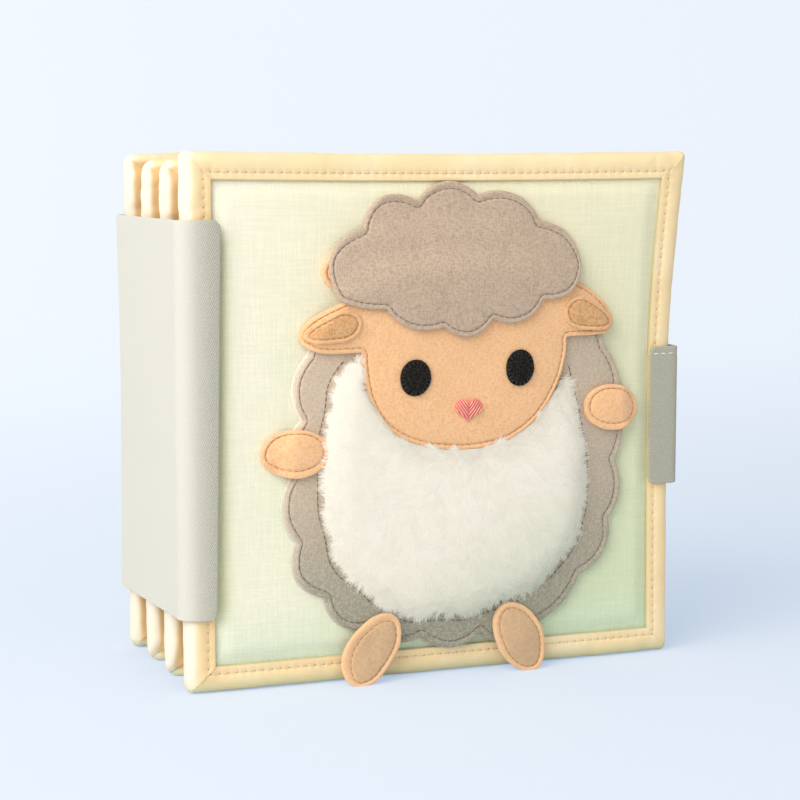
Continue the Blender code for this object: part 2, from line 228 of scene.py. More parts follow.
def make_piece(name: str, points: Array, faces: Sequence[Array], material: Material,
               uv: Optional[Array] = None, sharp: Optional[float] = None,
               closed: bool = True) -> bpy.types.Object:
    """Makes a mesh object from arrays, shaded smooth, with its faces outwards.

    Args:
        name: The piece's name.
        points: World coordinates, any shape that ends in 3.
        faces: Blocks of faces, one block for each number of corners.
        material: Its finish.
        uv: A UV place for each point, in metres.
        sharp: Edges past this angle, in degrees, are shaded sharp.
        closed: A closed mesh is turned to face outwards.

    Returns:
        The new object, at the origin.
    """
    points = np.asarray(points, float).reshape(-1, 3)
    blocks = [np.asarray(block) for block in faces if len(block)]
    if closed and volume(points, blocks) < 0:
        blocks = [block[:, ::-1] for block in blocks]
    corners = np.concatenate([block.ravel() for block in blocks]).astype(np.int32)
    counts = np.concatenate([np.full(len(block), block.shape[1]) for block in blocks])
    starts = np.concatenate([[0], np.cumsum(counts)[:-1]]).astype(np.int32)
    mesh = bpy.data.meshes.new(name)
    mesh.vertices.add(len(points))
    mesh.vertices.foreach_set("co", points.astype(np.float32).ravel())
    mesh.loops.add(len(corners))
    mesh.loops.foreach_set("vertex_index", corners)
    mesh.polygons.add(len(counts))
    mesh.polygons.foreach_set("loop_start", starts)
    mesh.update(calc_edges=True)
    if uv is not None:
        layer = mesh.uv_layers.new(name="UVMap")
        layer.data.foreach_set("uv", np.asarray(uv, np.float32).reshape(-1, 2)[corners].ravel())
    mesh.shade_smooth()
    if sharp is not None:
        mesh.set_sharp_from_angle(angle=math.radians(sharp))
    mesh.materials.append(material)
    made = bpy.data.objects.new(name, mesh)
    bpy.context.scene.collection.objects.link(made)
    log.info("%s: %d triangles", name, (counts - 2).sum())
    return made


def settle(made: bpy.types.Object, body: str, nodes: Sequence[str]) -> None:
    """Ties a piece to its body and hides the nodes that it replaces.

    Args:
        made: The piece.
        body: The body that it rides on.
        nodes: The CAD nodes that it stands for.
    """
    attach(made, body)
    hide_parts(*nodes)


# Materials


def operation(name: str) -> Callable[..., "Value"]:
    """A method of Value that adds a Math node of that name.

    Args:
        name: The operation, as the Math node names it.

    Returns:
        The method.
    """

    def method(self: "Value", *others: "Number") -> "Value":
        """Adds the node, whose first input is this socket."""
        values = dict(enumerate([self, *others]))
        return self.paint.node("ShaderNodeMath", {"operation": name}, values)["Value"]

    return method


class Value:
    """A shader socket on which arithmetic adds Math nodes."""

    def __init__(self, paint: "Paint", socket: bpy.types.NodeSocket) -> None:
        """Keeps the socket and the material that it belongs to."""
        self.paint, self.socket = paint, socket

    __add__ = __radd__ = operation("ADD")
    __sub__ = operation("SUBTRACT")
    __mul__ = __rmul__ = operation("MULTIPLY")
    __truediv__ = operation("DIVIDE")
    power = operation("POWER")
    smallest = operation("MINIMUM")
    sine = operation("SINE")
    size = operation("ABSOLUTE")
    part = operation("FRACT")

    def __rsub__(self, other: "Number") -> "Value":
        """Subtracts this from a number."""
        return (self * -1.0) + other

    def eased(self, low: float, high: float) -> "Value":
        """Rises smoothly from 0 at low to 1 at high.

        Args:
            low: The value at which it starts.
            high: The value at which it ends.

        Returns:
            The risen share.
        """
        return self.paint.node(
            "ShaderNodeMapRange",
            {"interpolation_type": "SMOOTHSTEP"},
            {"Value": self, "From Min": low, "From Max": high},
        )["Result"]


Number = Union[Value, float]


class Outputs:
    """The outputs of a node by name, as Values."""

    def __init__(self, paint: "Paint", made: bpy.types.Node) -> None:
        """Keeps the node."""
        self.paint = paint
        self.made = made

    def __getitem__(self, name: Union[str, int]) -> Value:
        """The output of that name or number."""
        return Value(self.paint, self.made.outputs[name])


class Paint:
    """A material under construction, round one Principled shader."""

    def __init__(self, name: str, roughness: float, sheen: float = 0.0,
                 sheen_roughness: float = 0.5, specular: float = 0.5) -> None:
        """Makes the material and sets what is the same all over it.

        Args:
            name: The material's name.
            roughness: Its roughness.
            sheen: Its sheen's weight.
            sheen_roughness: Its sheen's roughness.
            specular: Its specular level.
        """
        self.material = bpy.data.materials.new(name)
        self.material.use_nodes = True
        self.tree = self.material.node_tree
        self.shader = self.tree.nodes["Principled BSDF"]
        self.shader.inputs["Roughness"].default_value = roughness
        self.shader.inputs["Sheen Weight"].default_value = sheen
        self.shader.inputs["Sheen Roughness"].default_value = sheen_roughness
        self.shader.inputs["Specular IOR Level"].default_value = specular

    def put(self, socket: bpy.types.NodeSocket, value: object) -> None:
        """Links a Value to a socket, or sets a plain value on it.

        Args:
            socket: A node's input.
            value: What goes into it.
        """
        if isinstance(value, Value):
            self.tree.links.new(value.socket, socket)
        else:
            socket.default_value = value

    def node(self, kind: str, settings: Optional[dict] = None,
             values: Optional[dict] = None) -> Outputs:
        """Adds a node.

        Args:
            kind: The node's type.
            settings: Its own settings, set first.
            values: A value or link for each socket, by name or number.

        Returns:
            Its outputs.
        """
        made = self.tree.nodes.new(kind)
        for name, setting in (settings or {}).items():
            setattr(made, name, setting)
        for name, value in (values or {}).items():
            self.put(made.inputs[name], value)
        return Outputs(self, made)

    def place(self) -> Value:
        """Object coordinates."""
        return self.node("ShaderNodeTexCoord")["Object"]

    def axes(self, vector: Value) -> tuple[Value, Value, Value]:
        """A vector's three parts."""
        apart = self.node("ShaderNodeSeparateXYZ", {}, {0: vector})
        return apart["X"], apart["Y"], apart["Z"]

    def cloth(self) -> tuple[Value, Value]:
        """The piece's own UV map, in metres, as two Values."""
        return self.axes(self.node("ShaderNodeTexCoord")["UV"])[:2]

    def joined(self, x: Number, y: Number, z: Number = 0.0) -> Value:
        """A vector of three parts."""
        return self.node("ShaderNodeCombineXYZ", {}, {"X": x, "Y": y, "Z": z})["Vector"]

    def noise(self, vector: Value, scale: Union[float, Colour], detail: float = 2.0,
              roughness: float = 0.5) -> Value:
        """Noise over a place.

        Args:
            vector: Where to read it.
            scale: One scale, or one for each axis.
            detail: Number of finer layers.
            roughness: How much each finer layer counts.

        Returns:
            The noise, of about 0 to 1.
        """
        if isinstance(scale, tuple):
            stretched = self.node("ShaderNodeVectorMath", {"operation": "MULTIPLY"},
                                  {0: vector, 1: scale})["Vector"]
            vector, scale = stretched, 1.0
        return self.node("ShaderNodeTexNoise", {}, {
            "Vector": vector, "Scale": scale, "Detail": detail, "Roughness": roughness,
        })["Fac"]

    def blend(self, share: Number, first: Union[Value, Colour],
              second: Union[Value, Colour], mode: str = "MIX") -> Value:
        """Mixes two colours.

        Args:
            share: How much of the second shows, held between 0 and 1.
            first: The colour at a share of 0.
            second: The colour at a share of 1.
            mode: How they mix, as the Mix node names it.

        Returns:
            The mixed colour.
        """
        values = {0: share}
        for socket, colour in ((6, first), (7, second)):
            values[socket] = colour if isinstance(colour, Value) else (*colour, 1.0)
        settings = {"data_type": "RGBA", "blend_type": mode, "clamp_factor": True}
        return self.node("ShaderNodeMix", settings, values)[2]

    def shaded(self, colour: Union[Value, Colour], amount: Value) -> Value:
        """A colour times a grey amount, so that 1 leaves it as it is."""
        grey = self.node("ShaderNodeCombineColor", {}, {0: amount, 1: amount, 2: amount})
        return self.blend(1.0, colour, grey["Color"], "MULTIPLY")

    def finish(self, colour: Value, height: Optional[Value] = None,
               depth: float = 0.0) -> Material:
        """Links the colour and the bump.

        Args:
            colour: Base colour.
            height: Surface height of about 0 to 1.
            depth: What a height of 1 measures, in metres.

        Returns:
            The finished material.
        """
        self.put(self.shader.inputs["Base Color"], colour)
        if height is not None:
            values = {"Height": height, "Distance": depth, "Strength": 1.0}
            bump = self.node("ShaderNodeBump", {}, values)
            self.put(self.shader.inputs["Normal"], bump["Normal"])
        return self.material


@dataclass(frozen=True)
class LinenFinish:
    """Pale linen with slubs, under painted light: creamy above and green below, paler at the left,
    with a painted shadow beside the band.
    """

    # top and foot are mixed by height as a painted light gradient: creamy where the light is brighter
    # above, greener below.
    top: Colour = (0.90, 0.87, 0.635)
    foot: Colour = (0.695, 0.81, 0.56)
    # Painted light: the paler colour towards the lit left side.
    painted_light_left: Colour = (0.98, 0.965, 0.79)
    # Painted shadow of the spine band on the linen beside its edge.
    painted_band_shadow: Colour = (0.62, 0.69, 0.35)
    # Painted shade near the foot: cooler and greener.
    painted_foot_shade: Colour = (0.68, 0.84, 0.65)
    yarn: float = 0.62 * MM
    slub_length: float = 16 * MM
    slub_width: float = 0.85 * MM
    painted_foot_shade_z: Pair = (0.010, 0.034)
    band_shadow_x: Pair = (-0.0875, -0.0815)
    band_shadow_foot: Pair = (0.022, 0.034)
    band_shadow_top: Pair = (0.164, 0.174)

    def make(self) -> Material:
        """Two sets of yarns, each with slubs, over a colour with random tone and painted light and
        shade.

        Returns:
            The finished material.
        """
        paint = Paint("linen", 0.88, sheen=0.12, specular=0.25)
        place = paint.place()
        x, _, z = paint.axes(place)
        wander = paint.noise(place, 9.0, 2.0)
        # Painted light: creamy towards the top, green towards the foot, with random tone from the
        # noise.
        tone_and_painted_light_drift = (z * 5.6 + wander * 0.9 - 0.5).eased(0.0, 1.0)
        colour = paint.blend(tone_and_painted_light_drift, self.foot, self.top)
        # Painted light: paler towards the lit left side of the cover.
        painted_light_left = (x * -8.0 - z * 1.2 + wander * 0.5 + 0.06).eased(0.0, 1.0)
        colour = paint.blend(painted_light_left * 0.97, colour, self.painted_light_left)
        # Painted shade along the foot of the cover.
        colour = paint.blend((1.0 - z.eased(*self.painted_foot_shade_z)) * 0.6, colour, self.painted_foot_shade)
        # Painted shadow of the band: a darker green strip beside its edge, over the band's height.
        painted_band_shadow = (1.0 - x.eased(*self.band_shadow_x)) * (1.0 - z.eased(*self.band_shadow_top))
        colour = paint.blend(painted_band_shadow * z.eased(*self.band_shadow_foot) * 0.6, colour, self.painted_band_shadow)
        thin, long = 1 / self.slub_width, 1 / self.slub_length
        weft = paint.noise(place, (long, 1.0, thin), 3.0, 0.6)
        warp = paint.noise(place, (thin, 1.0, long), 3.0, 0.6)
        slubs = weft.eased(0.35, 0.72) * 0.5 + warp.eased(0.35, 0.72) * 0.5
        turn = 2 * math.pi / self.yarn
        weave = (x * turn).sine() * (z * turn).sine()
        grain = paint.noise(place, 2600.0, 2.0, 0.7)
        tone = slubs * 0.10 + weave * 0.015 + grain * 0.06 + 0.92
        height = slubs * 0.55 + weave * 0.18 + grain * 0.35
        return paint.finish(paint.shaded(colour, tone), height, 0.22 * MM)


@dataclass(frozen=True)
class BindingFinish:
    """Smooth cream cotton satin, with needle holes along the stitch line.

    On a shaded leaf, painted shade makes the face towards the front cover a deeper tan, where the
    leaf in front shades it.
    """

    name: str = "binding_satin"
    colour: Colour = (0.935, 0.735, 0.43)
    pale: Colour = (0.965, 0.84, 0.59)
    # tan: painted shade colour, beside the spine roll and in the gaps between leaves.
    tan: Colour = (0.70, 0.43, 0.175)
    # lit: painted highlight colour for the roll along the spine.
    lit: Colour = (0.94, 0.835, 0.715)
    # foot: painted contact shadow at the tape's foot, with a greenish painted reflection.
    foot: Colour = (0.50, 0.57, 0.34)
    hole: Colour = (0.36, 0.22, 0.09)
    # Painted shadow colour for the thin line at the tape's inner edge.
    painted_edge_shadow: Colour = (0.50, 0.40, 0.13)
    # shade: strength of the painted shade on a leaf's face towards the front cover.
    shade: float = 0.0
    stitch_inset: float = STITCH_INSET
    stitch_pitch: float = STITCH_PITCH
    hole_radius: float = 0.32 * MM
    spine_roll: Pair = (-0.0970, -0.0950)
    shade_beside_x: Pair = (-0.0905, -0.0885)
    painted_tape_foot_shade_height: float = 7.0 * MM
    cloth_edge: Pair = (9.9 * MM, 10.3 * MM)

    def make(self) -> Material:
        """The UV map runs along the tape and across it, from the leaf's edge.

        The roll along the spine is a paler cream: a painted highlight where the light falls on it.

        Returns:
            The finished material.
        """
        paint = Paint(self.name, 0.52, sheen=0.25, sheen_roughness=0.4, specular=0.35)
        place = paint.place()
        along, across = paint.cloth()
        patches = paint.noise(place, 26.0, 3.0, 0.55)
        colour = paint.blend(patches.eased(0.42, 0.8), self.colour, self.pale)
        x, _, z = paint.axes(place)
        # Painted highlight on the tape's roll along the lit spine side.
        roll = 1.0 - across.size().eased(1.6 * MM, 4.2 * MM)
        spine_side = 1.0 - x.eased(*self.spine_roll)
        colour = paint.blend(roll * spine_side * 0.85, colour, self.lit)
        # Painted shade on the tape's face beside the spine roll.
        painted_shade_beside = across.size().eased(3.0 * MM, 5.5 * MM) * (1.0 - x.eased(*self.shade_beside_x))
        colour = paint.blend(painted_shade_beside * 0.24, colour, self.tan)
        # Painted shade on the face that looks towards the front cover, shaded by the leaf in front;
        # noise wobbles its boundary.
        if self.shade:
            gap_shade_wobble = paint.noise(place, 60.0, 2.0) * (5 * MM)
            turned = (gap_shade_wobble - across).eased(4.4 * MM, 6.4 * MM)
            colour = paint.blend(turned * self.shade, colour, self.tan)
        # Painted contact shadow and reflection along the foot of the tape, where it meets the floor.
        colour = paint.blend((1.0 - z.eased(0.0, self.painted_tape_foot_shade_height)) * 0.6, colour, self.foot)
        step = ((along / self.stitch_pitch).part() - 0.5) * self.stitch_pitch
        inset = across.size() - self.stitch_inset
        reach = (step * step + inset * inset).power(0.5)
        hole = 1.0 - reach.eased(self.hole_radius * 0.45, self.hole_radius)
        colour = paint.blend(hole * 0.66, colour, self.hole)
        # Painted shadow of the hem: a dark line along the tape's inner edge.
        colour = paint.blend(across.size().eased(*self.cloth_edge) * 0.55, colour, self.painted_edge_shadow)
        thread = paint.noise(place, (2400.0, 2400.0, 900.0), 2.0, 0.6)
        soft = paint.noise(place, 75.0, 4.0, 0.5)
        pucker_wide = inset.size() / (3.0 * MM)
        pucker = (1.0 - pucker_wide.eased(0.0, 1.0)) * (step.size() / self.stitch_pitch)
        tone = thread * 0.05 + soft * 0.05 + 0.95
        height = soft * 0.5 + thread * 0.05 + pucker * 0.4 - hole * 0.5
        return paint.finish(paint.shaded(colour, tone), height, 0.75 * MM)


@dataclass(frozen=True)
class TwillFinish:
    """Cotton twill: fine diagonal ribs on the cloth's own UV map."""

    name: str
    colour: Colour
    dark: Colour
    rib: float = 0.85 * MM
    slope: float = 1.9
    contrast: float = 0.55
    depth: float = 0.20 * MM
    # Two places on X for the painted light and shade across the band.
    painted_shade_fade: Optional[Pair] = None

    def make(self) -> Material:
        """Ribs climb by the slope, broken up by the yarns that cross them.

        Two places on X, if given, set painted light and shade: before them the ribs wash out under
        painted light, between them they come out and painted shade darkens them.

        Returns:
            The finished material.
        """
        paint = Paint(self.name, 0.9, sheen=0.15, specular=0.2)
        along, up = paint.cloth()
        flat = paint.joined(along, up)
        wander = paint.noise(flat, 60.0, 3.0) * 0.8 + paint.noise(flat, 700.0, 2.0) * 2.2
        phase = (along * self.slope - up) * (2 * math.pi / (self.rib * self.slope)) + wander
        rib = phase.sine() * 0.5 + 0.5
        grain = paint.noise(flat, 1300.0, 3.0, 0.75)
        yarn = paint.noise(flat, (1900.0, 300.0, 1.0), 2.0, 0.6)
        cloudy = paint.noise(flat, 22.0, 3.0)
        speck = (rib * 0.45 + grain * 1.1).eased(0.40, 1.05)
        mix = speck * self.contrast + (1.0 - self.contrast) * 0.80 + cloudy * 0.14
        height = rib * 0.6 + yarn * 0.3 + grain * 0.4
        # Painted light and shade: ribs washed out towards the lit spine side, darker towards the
        # front wing.
        if self.painted_shade_fade:
            x, _, _ = paint.axes(paint.place())
            shown = x.eased(*self.painted_shade_fade)
            mix = mix * (shown * 0.8 + 0.2) + (1.0 - shown) * 0.62
            height = height * (shown * 0.8 + 0.2)
            mix = mix - shown * 0.48
        colour = paint.blend(mix, self.dark, self.colour)
        return paint.finish(colour, height, self.depth)


@dataclass(frozen=True)
class FeltFinish:
    """Wool felt: matted fibres, with lighter and darker ones mixed in."""

    name: str
    colour: Colour
    light: Colour
    dark: Colour
    mottle: float = 0.5
    depth: float = 0.24 * MM
    rim: Optional[Colour] = None
    rim_width: float = 2.0 * MM
    # low: painted shade colour, mixed in towards the foot and towards the right.
    low: Optional[Colour] = None
    painted_shade_z: Pair = (0.005, 0.10)
    painted_shade_x: Pair = (0.02, 0.10)
    sheen: float = 0.35

    def make(self) -> Material:
        """Short stretched noise in two directions stands for the fibres.

        The UV map's second part is the distance from the piece's edge.

        Returns:
            The finished material.
        """
        paint = Paint(self.name, 0.95, sheen=self.sheen, sheen_roughness=0.6, specular=0.15)
        place = paint.place()
        first = paint.noise(place, (1700.0, 800.0, 620.0), 3.0, 0.65)
        second = paint.noise(place, (640.0, 800.0, 1700.0), 3.0, 0.65)
        mass = paint.noise(place, 130.0, 4.0, 0.6)
        cloud = paint.noise(place, 16.0, 2.0)
        fibres = first * 0.5 + second * 0.5
        _, inset = paint.cloth()
        # A rim colour within rim_width of the edge; on the inner ear it is painted light on the thin
        # edge.
        middle = inset.eased(self.rim_width - 0.3 * MM, self.rim_width + 0.2 * MM)
        plain = paint.blend(middle, self.rim or self.colour, self.colour)
        # Painted shade: darker towards the foot and towards the right, away from the light.
        if self.low:
            x, _, z = paint.axes(place)
            plain = paint.blend(1.0 - z.eased(*self.painted_shade_z), plain, self.low)
            plain = paint.blend(x.eased(*self.painted_shade_x) * 0.5, plain, self.low)
        colour = paint.blend(fibres.eased(0.46, 0.57) * self.mottle, plain, self.light)
        colour = paint.blend((1.0 - fibres.eased(0.40, 0.5)) * self.mottle, colour, self.dark)
        tone = mass * 0.16 + cloud * 0.06 + 0.89
        height = fibres * 0.7 + mass * 0.5
        return paint.finish(paint.shaded(colour, tone), height, self.depth)


@dataclass(frozen=True)
class ThreadFinish:
    """Twisted sewing thread."""

    name: str
    colour: Colour
    roughness: float = 0.6

    def make(self) -> Material:
        """Fine noise over the whole thread.

        Returns:
            The finished material.
        """
        paint = Paint(self.name, self.roughness, sheen=0.2, specular=0.4)
        twist = paint.noise(paint.place(), 2200.0, 2.0, 0.6)
        return paint.finish(paint.shaded(self.colour, twist * 0.3 + 0.85), twist, 0.08 * MM)


@dataclass(frozen=True)
class FurFinish:
    """White pile whose strands are a little darker at the root, with painted shade towards the foot
    and the right.
    """

    tip: Colour = (0.965, 0.94, 0.87)
    root: Colour = (0.92, 0.895, 0.82)
    # low: painted shade colour towards the foot and the right.
    low: Colour = (0.69, 0.75, 0.63)

    def make(self) -> Material:
        """The UV map's second part runs from a strand's root to its tip.

        Returns:
            The finished material.
        """
        paint = Paint("white_fur", 0.75, sheen=0.3, specular=0.25)
        _, height = paint.cloth()
        place = paint.place()
        x, _, z = paint.axes(place)
        tufts = paint.noise(place, 160.0, 3.0, 0.6)
        colour = paint.blend(height.eased(0.0, 0.8), self.root, self.tip)
        # Painted shade: the fur turns to the low colour towards the foot and the right.
        lit = (z * 12.0 - x * 7.0 + 0.22).eased(0.0, 1.0)
        colour = paint.blend(lit, self.low, colour)
        return paint.finish(paint.shaded(colour, tufts * 0.08 + 0.96))


@dataclass(frozen=True)
class FastenerFinish:
    """Hook and loop tape: a close fuzzy or hooked surface."""

    name: str
    colour: Colour = (0.78, 0.78, 0.74)
    pitch: float = 1.1 * MM

    def make(self) -> Material:
        """Rows of small bumps with noise over them.

        Returns:
            The finished material.
        """
        paint = Paint(self.name, 0.9, sheen=0.2, specular=0.2)
        place = paint.place()
        _, y, z = paint.axes(place)
        turn = 2 * math.pi / self.pitch
        rows = (y * turn).sine() * (z * turn).sine()
        fuzz = paint.noise(place, 1800.0, 3.0, 0.8)
        height = rows * 0.5 + fuzz * 0.6
        return paint.finish(paint.shaded(self.colour, fuzz * 0.25 + 0.85), height, 0.4 * MM)


class Finishes:
    """Every material of the book."""

    def __init__(self) -> None:
        """Makes each material once."""
        self.linen = LinenFinish().make()
        self.binding = BindingFinish().make()
        # Tape with painted shade on the faces that the leaf in front shades.
        self.gap_shaded_binding = BindingFinish("gap_shaded_binding_satin", shade=0.8).make()
        # The band has painted light on its spine side and painted shade on its front wing.
        self.band = TwillFinish("band_twill", (0.74, 0.735, 0.66), (0.38, 0.37, 0.31),
                                contrast=0.75, painted_shade_fade=(-0.1020, -0.0875)).make()
        self.strap = TwillFinish("strap_twill", (0.52, 0.52, 0.435), (0.31, 0.31, 0.25), 1.0 * MM,
                                 slope=-1.2, contrast=0.8).make()
        self.taupe = FeltFinish("taupe_felt", (0.50, 0.373, 0.277), (0.66, 0.545, 0.43),
                                (0.36, 0.27, 0.195), 0.42).make()
        # The body felt has painted shade towards its foot and right.
        self.body = FeltFinish("body_felt", (0.62, 0.49, 0.375), (0.74, 0.64, 0.52),
                               (0.42, 0.33, 0.25), 0.34, low=(0.24, 0.26, 0.205)).make()
        self.peach = FeltFinish("peach_felt", (0.90, 0.525, 0.27), (0.96, 0.65, 0.39),
                                (0.78, 0.41, 0.185), 0.45).make()
        # Inner ear: its lighter peach rim is painted light on the thin felt edge.
        self.inner_ear = FeltFinish("inner_ear_felt", (0.66, 0.36, 0.15), (0.80, 0.50, 0.26),
                                    (0.50, 0.25, 0.09), 0.55, rim=(0.82, 0.49, 0.24)).make()
        self.foot = FeltFinish("foot_felt", (0.60, 0.40, 0.232), (0.70, 0.505, 0.32),
                               (0.49, 0.31, 0.17), 0.35, rim=(0.86, 0.53, 0.285)).make()
        self.black = FeltFinish("black_felt", (0.009, 0.008, 0.007), (0.04, 0.036, 0.032),
                                (0.003, 0.002, 0.002), 0.6, sheen=0.0).make()
        # The backing felt has painted shade towards its foot and right.
        self.backing = FeltFinish("backing_felt", (0.86, 0.80, 0.70), (0.92, 0.88, 0.80),
                                  (0.74, 0.66, 0.55), 0.3, low=(0.40, 0.34, 0.265)).make()
        self.brown_thread = ThreadFinish("brown_thread", (0.13, 0.085, 0.05)).make()
        self.peach_thread = ThreadFinish("russet_thread", (0.42, 0.19, 0.075)).make()
        self.cream_thread = ThreadFinish("cream_thread", (0.88, 0.68, 0.38)).make()
        self.white_thread = ThreadFinish("white_thread", (0.93, 0.92, 0.88)).make()
        self.black_thread = ThreadFinish("black_thread", (0.02, 0.018, 0.016)).make()
        self.nose_thread = ThreadFinish("pink_thread", (0.98, 0.38, 0.31), 0.38).make()
        # Darker pink under the nose threads: painted shade in the gaps between the stitches.
        self.nose_pad_gap_shade = ThreadFinish("pink_gap_shade_pad", (0.96, 0.27, 0.23), 0.60).make()
        self.fur = FurFinish().make()
        self.loops = FastenerFinish("loop_tape").make()
        self.hooks = FastenerFinish("hook_tape", pitch=1.6 * MM).make()


# Cloth, thread and felt


class Path:
    """A smooth line in plan view, read by the distance along it."""

    def __init__(self, corners: Sequence[Pair], radii: Sequence[float],
                 steps: int = 24) -> None:
        """Joins straight runs with round bends.

        Args:
            corners: The line's ends and its corners between them.
            radii: The radius of each corner's bend.
            steps: Points in each bend.
        """
        points = [np.array(corners[0], float)]
        for place, radius in zip(range(1, len(corners) - 1), radii):
            before, here, after = (np.array(corners[place + k], float) for k in (-1, 0, 1))
            back = (before - here) / np.linalg.norm(before - here)
            on = (after - here) / np.linalg.norm(after - here)
            half = math.acos(float(np.clip(back @ on, -1, 1))) / 2
            cut = radius / math.tan(half)
            centre = here + (back + on) / np.linalg.norm(back + on) * radius / math.sin(half)
            first, last = here + back * cut - centre, here + on * cut - centre
            share = np.linspace(0, 1, steps)[:, None]
            bend = math.pi - 2 * half
            arc = (np.sin((1 - share) * bend) * first + np.sin(share * bend) * last) / math.sin(bend)
            points.extend(centre + arc)
        points.append(np.array(corners[-1], float))
        self.points = np.array(points)
        self.along = run_of(self.points)
        self.length = float(self.along[-1])

    def at(self, along: Array) -> tuple[Array, Array]:
        """Points and outward unit normals at distances along the line.

        The outward side is on the right of the line's direction.

        Args:
            along: Distances along the line.

        Returns:
            The points and the normals.
        """
        near = 0.4 * MM
        where, ahead, behind = (
            read_along(along + move, self.along, self.points) for move in (0.0, near, -near)
        )
        dx, dy = np.moveaxis(ahead - behind, -1, 0)
        size = np.maximum(np.hypot(dx, dy), 1e-9)
        return where, np.stack([dy / size, -dx / size], -1)


def cloth_shell(name: str, plan: Array, level: Array, normal: Union[Array, Pair], thick: Array,
                uv: Array, material: Material) -> bpy.types.Object:
    """A closed sheet of upright cloth: its middle moved half a thickness each way.

    Args:
        name: The piece's name.
        plan: (rows, columns, 2) places of the cloth's middle, seen from above.
        level: The height of each place.
        normal: Unit normals seen from above, or one for the whole cloth.
        thick: Thickness at each place, which falls at a rounded edge.
        uv: (rows, columns, 2) places on the cloth, in metres.
        material: Its finish.

    Returns:
        The closed shell.
    """
    middle = np.concatenate([plan, level[..., None]], -1)
    outward = np.zeros_like(middle)
    outward[..., :2] = normal
    rows, columns = level.shape
    half = thick[..., None] / 2
    outer, inner = middle + outward * half, middle - outward * half
    count = rows * columns
    index = np.arange(count).reshape(rows, columns)
    edge = np.concatenate([
        index[0, :-1], index[:-1, -1], index[-1, :0:-1], index[:0:-1, 0],
    ])
    after = np.roll(edge, -1)
    rim = np.stack([edge, after, after + count, edge + count], -1)
    faces = np.concatenate([
        grid_faces(rows, columns)[:, ::-1],
        grid_faces(rows, columns, start=count),
        rim,
    ])
    points = np.concatenate([outer.reshape(-1, 3), inner.reshape(-1, 3)])
    both = np.concatenate([uv.reshape(-1, 2)] * 2)
    return make_piece(name, points, [faces], material, both, sharp=50)


def edge_steps(length: float, fine: float, coarse: int, taper: float,
               round_start: bool, round_end: bool) -> tuple[Array, Array]:
    """Distances across a cloth and its thickness share at each.

    The thickness falls to a quarter over the last bit before a rounded edge,
    as the square root of 1 - t * t.

    Args:
        length: The cloth's length that way.
        fine: Spacing of the first steps at a rounded edge.
        coarse: Number of even steps between.
        taper: Width of the rounding.
        round_start: Rounds the first edge.
        round_end: Rounds the last edge.

    Returns:
        The distances and the shares.
    """
    near = np.arange(0, taper, fine)
    start = near if round_start else np.array([0.0])
    end = length - near[::-1] if round_end else np.array([length])
    low, high = (taper if round_start else 0.0), (length - taper if round_end else length)
    inside = np.linspace(low, high, coarse)
    across = np.unique(np.round(np.concatenate([start, inside, end]), 7))
    share = np.ones_like(across)
    for rounded, distance in ((round_start, across), (round_end, length - across)):
        if rounded:
            t = np.clip(1 - distance / taper, 0, 1)
            share = np.minimum(share, np.sqrt(np.clip(1 - t * t * 0.94, 0, 1)))
    return across, share


class Cut:
    """A rectangle of cloth as a grid of places, thinner towards its hems.

    Its arrays: share runs from 0 to 1 across the cloth, up is the height in
    metres, thin is the share of the full thickness, and pulled is how far the
    round corners bring both ends in at that height.
    """

    def __init__(self, size: Pair, counts: tuple[int, int], hem: float, radius: float = MM,
                 fine: float = 0.12 * MM, hemmed: tuple[bool, bool] = (True, True)) -> None:
        """Lays out the grid.

        Args:
            size: The cloth's width and height.
            counts: Even steps across and up, between the hems.
            hem: Width of a hem's rounding.
            radius: Radius of the corners.
            fine: Spacing of the steps in a hem.
            hemmed: Whether the first and the last end across have a hem.
        """
        width, height = size
        across, thin_across = edge_steps(width, fine, counts[0], hem, *hemmed)
        up, thin_up = edge_steps(height, fine, counts[1], hem, True, True)
        self.share, self.up = np.meshgrid(across / width, up, indexing="ij")
        self.thin = np.minimum.outer(thin_across, thin_up)
        from_edge = np.clip(1 - np.minimum(self.up, height - self.up) / radius, 0, 1)
        self.pulled = radius * (1 - np.sqrt(1 - from_edge ** 2))


def sew(name: str, body: str, starts: Array, ends: Array, ups: Array, radius: float,
        material: Material, bow: float = 0.15 * MM) -> None:
    """Makes a row of stitches as one mesh: bowed threads with pinched ends.

    Each stitch is a tube of five rings of five points. It rises by bow times
    a half sine at its middle, and its radius is the root of a half sine.

    Args:
        name: The piece's name.
        body: The body that it rides on.
        starts: (count, 3) first ends.
        ends: (count, 3) last ends.
        ups: Unit normals of the cloth, (count, 3) or one for all.
        radius: The thread's radius.
        material: Its finish.
        bow: How far a stitch's middle stands up.
    """
    rings, sides = 5, 5
    share = np.linspace(0, 1, rings)
    run = ends - starts
    ups = np.broadcast_to(ups, run.shape)
    axis = run / np.linalg.norm(run, axis=1, keepdims=True)
    across = np.cross(axis, ups)
    across /= np.linalg.norm(across, axis=1, keepdims=True)
    lift = np.sin(np.pi * share)
    wide = radius * np.sqrt(0.12 + 0.88 * lift)
    centre = (starts[:, None] + run[:, None] * share[None, :, None]
              + ups[:, None] * (bow * lift)[None, :, None])
    turn = angles(sides)[None, None, :, None]
    ring = across[:, None, None] * np.cos(turn) + ups[:, None, None] * np.sin(turn)
    points = centre[:, :, None] + ring * wide[None, :, None, None]
    one = grid_faces(rings, sides, close_columns=True)
    first, last = np.arange(sides), np.arange(sides) + (rings - 1) * sides
    caps = np.stack([first[::-1], last])
    shift = (np.arange(len(starts)) * rings * sides)[:, None, None]
    faces, ends_of = ((part + shift).reshape(-1, part.shape[-1])[:, ::-1] for part in (one, caps))
    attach(make_piece(name, points, [faces, ends_of], material), body)


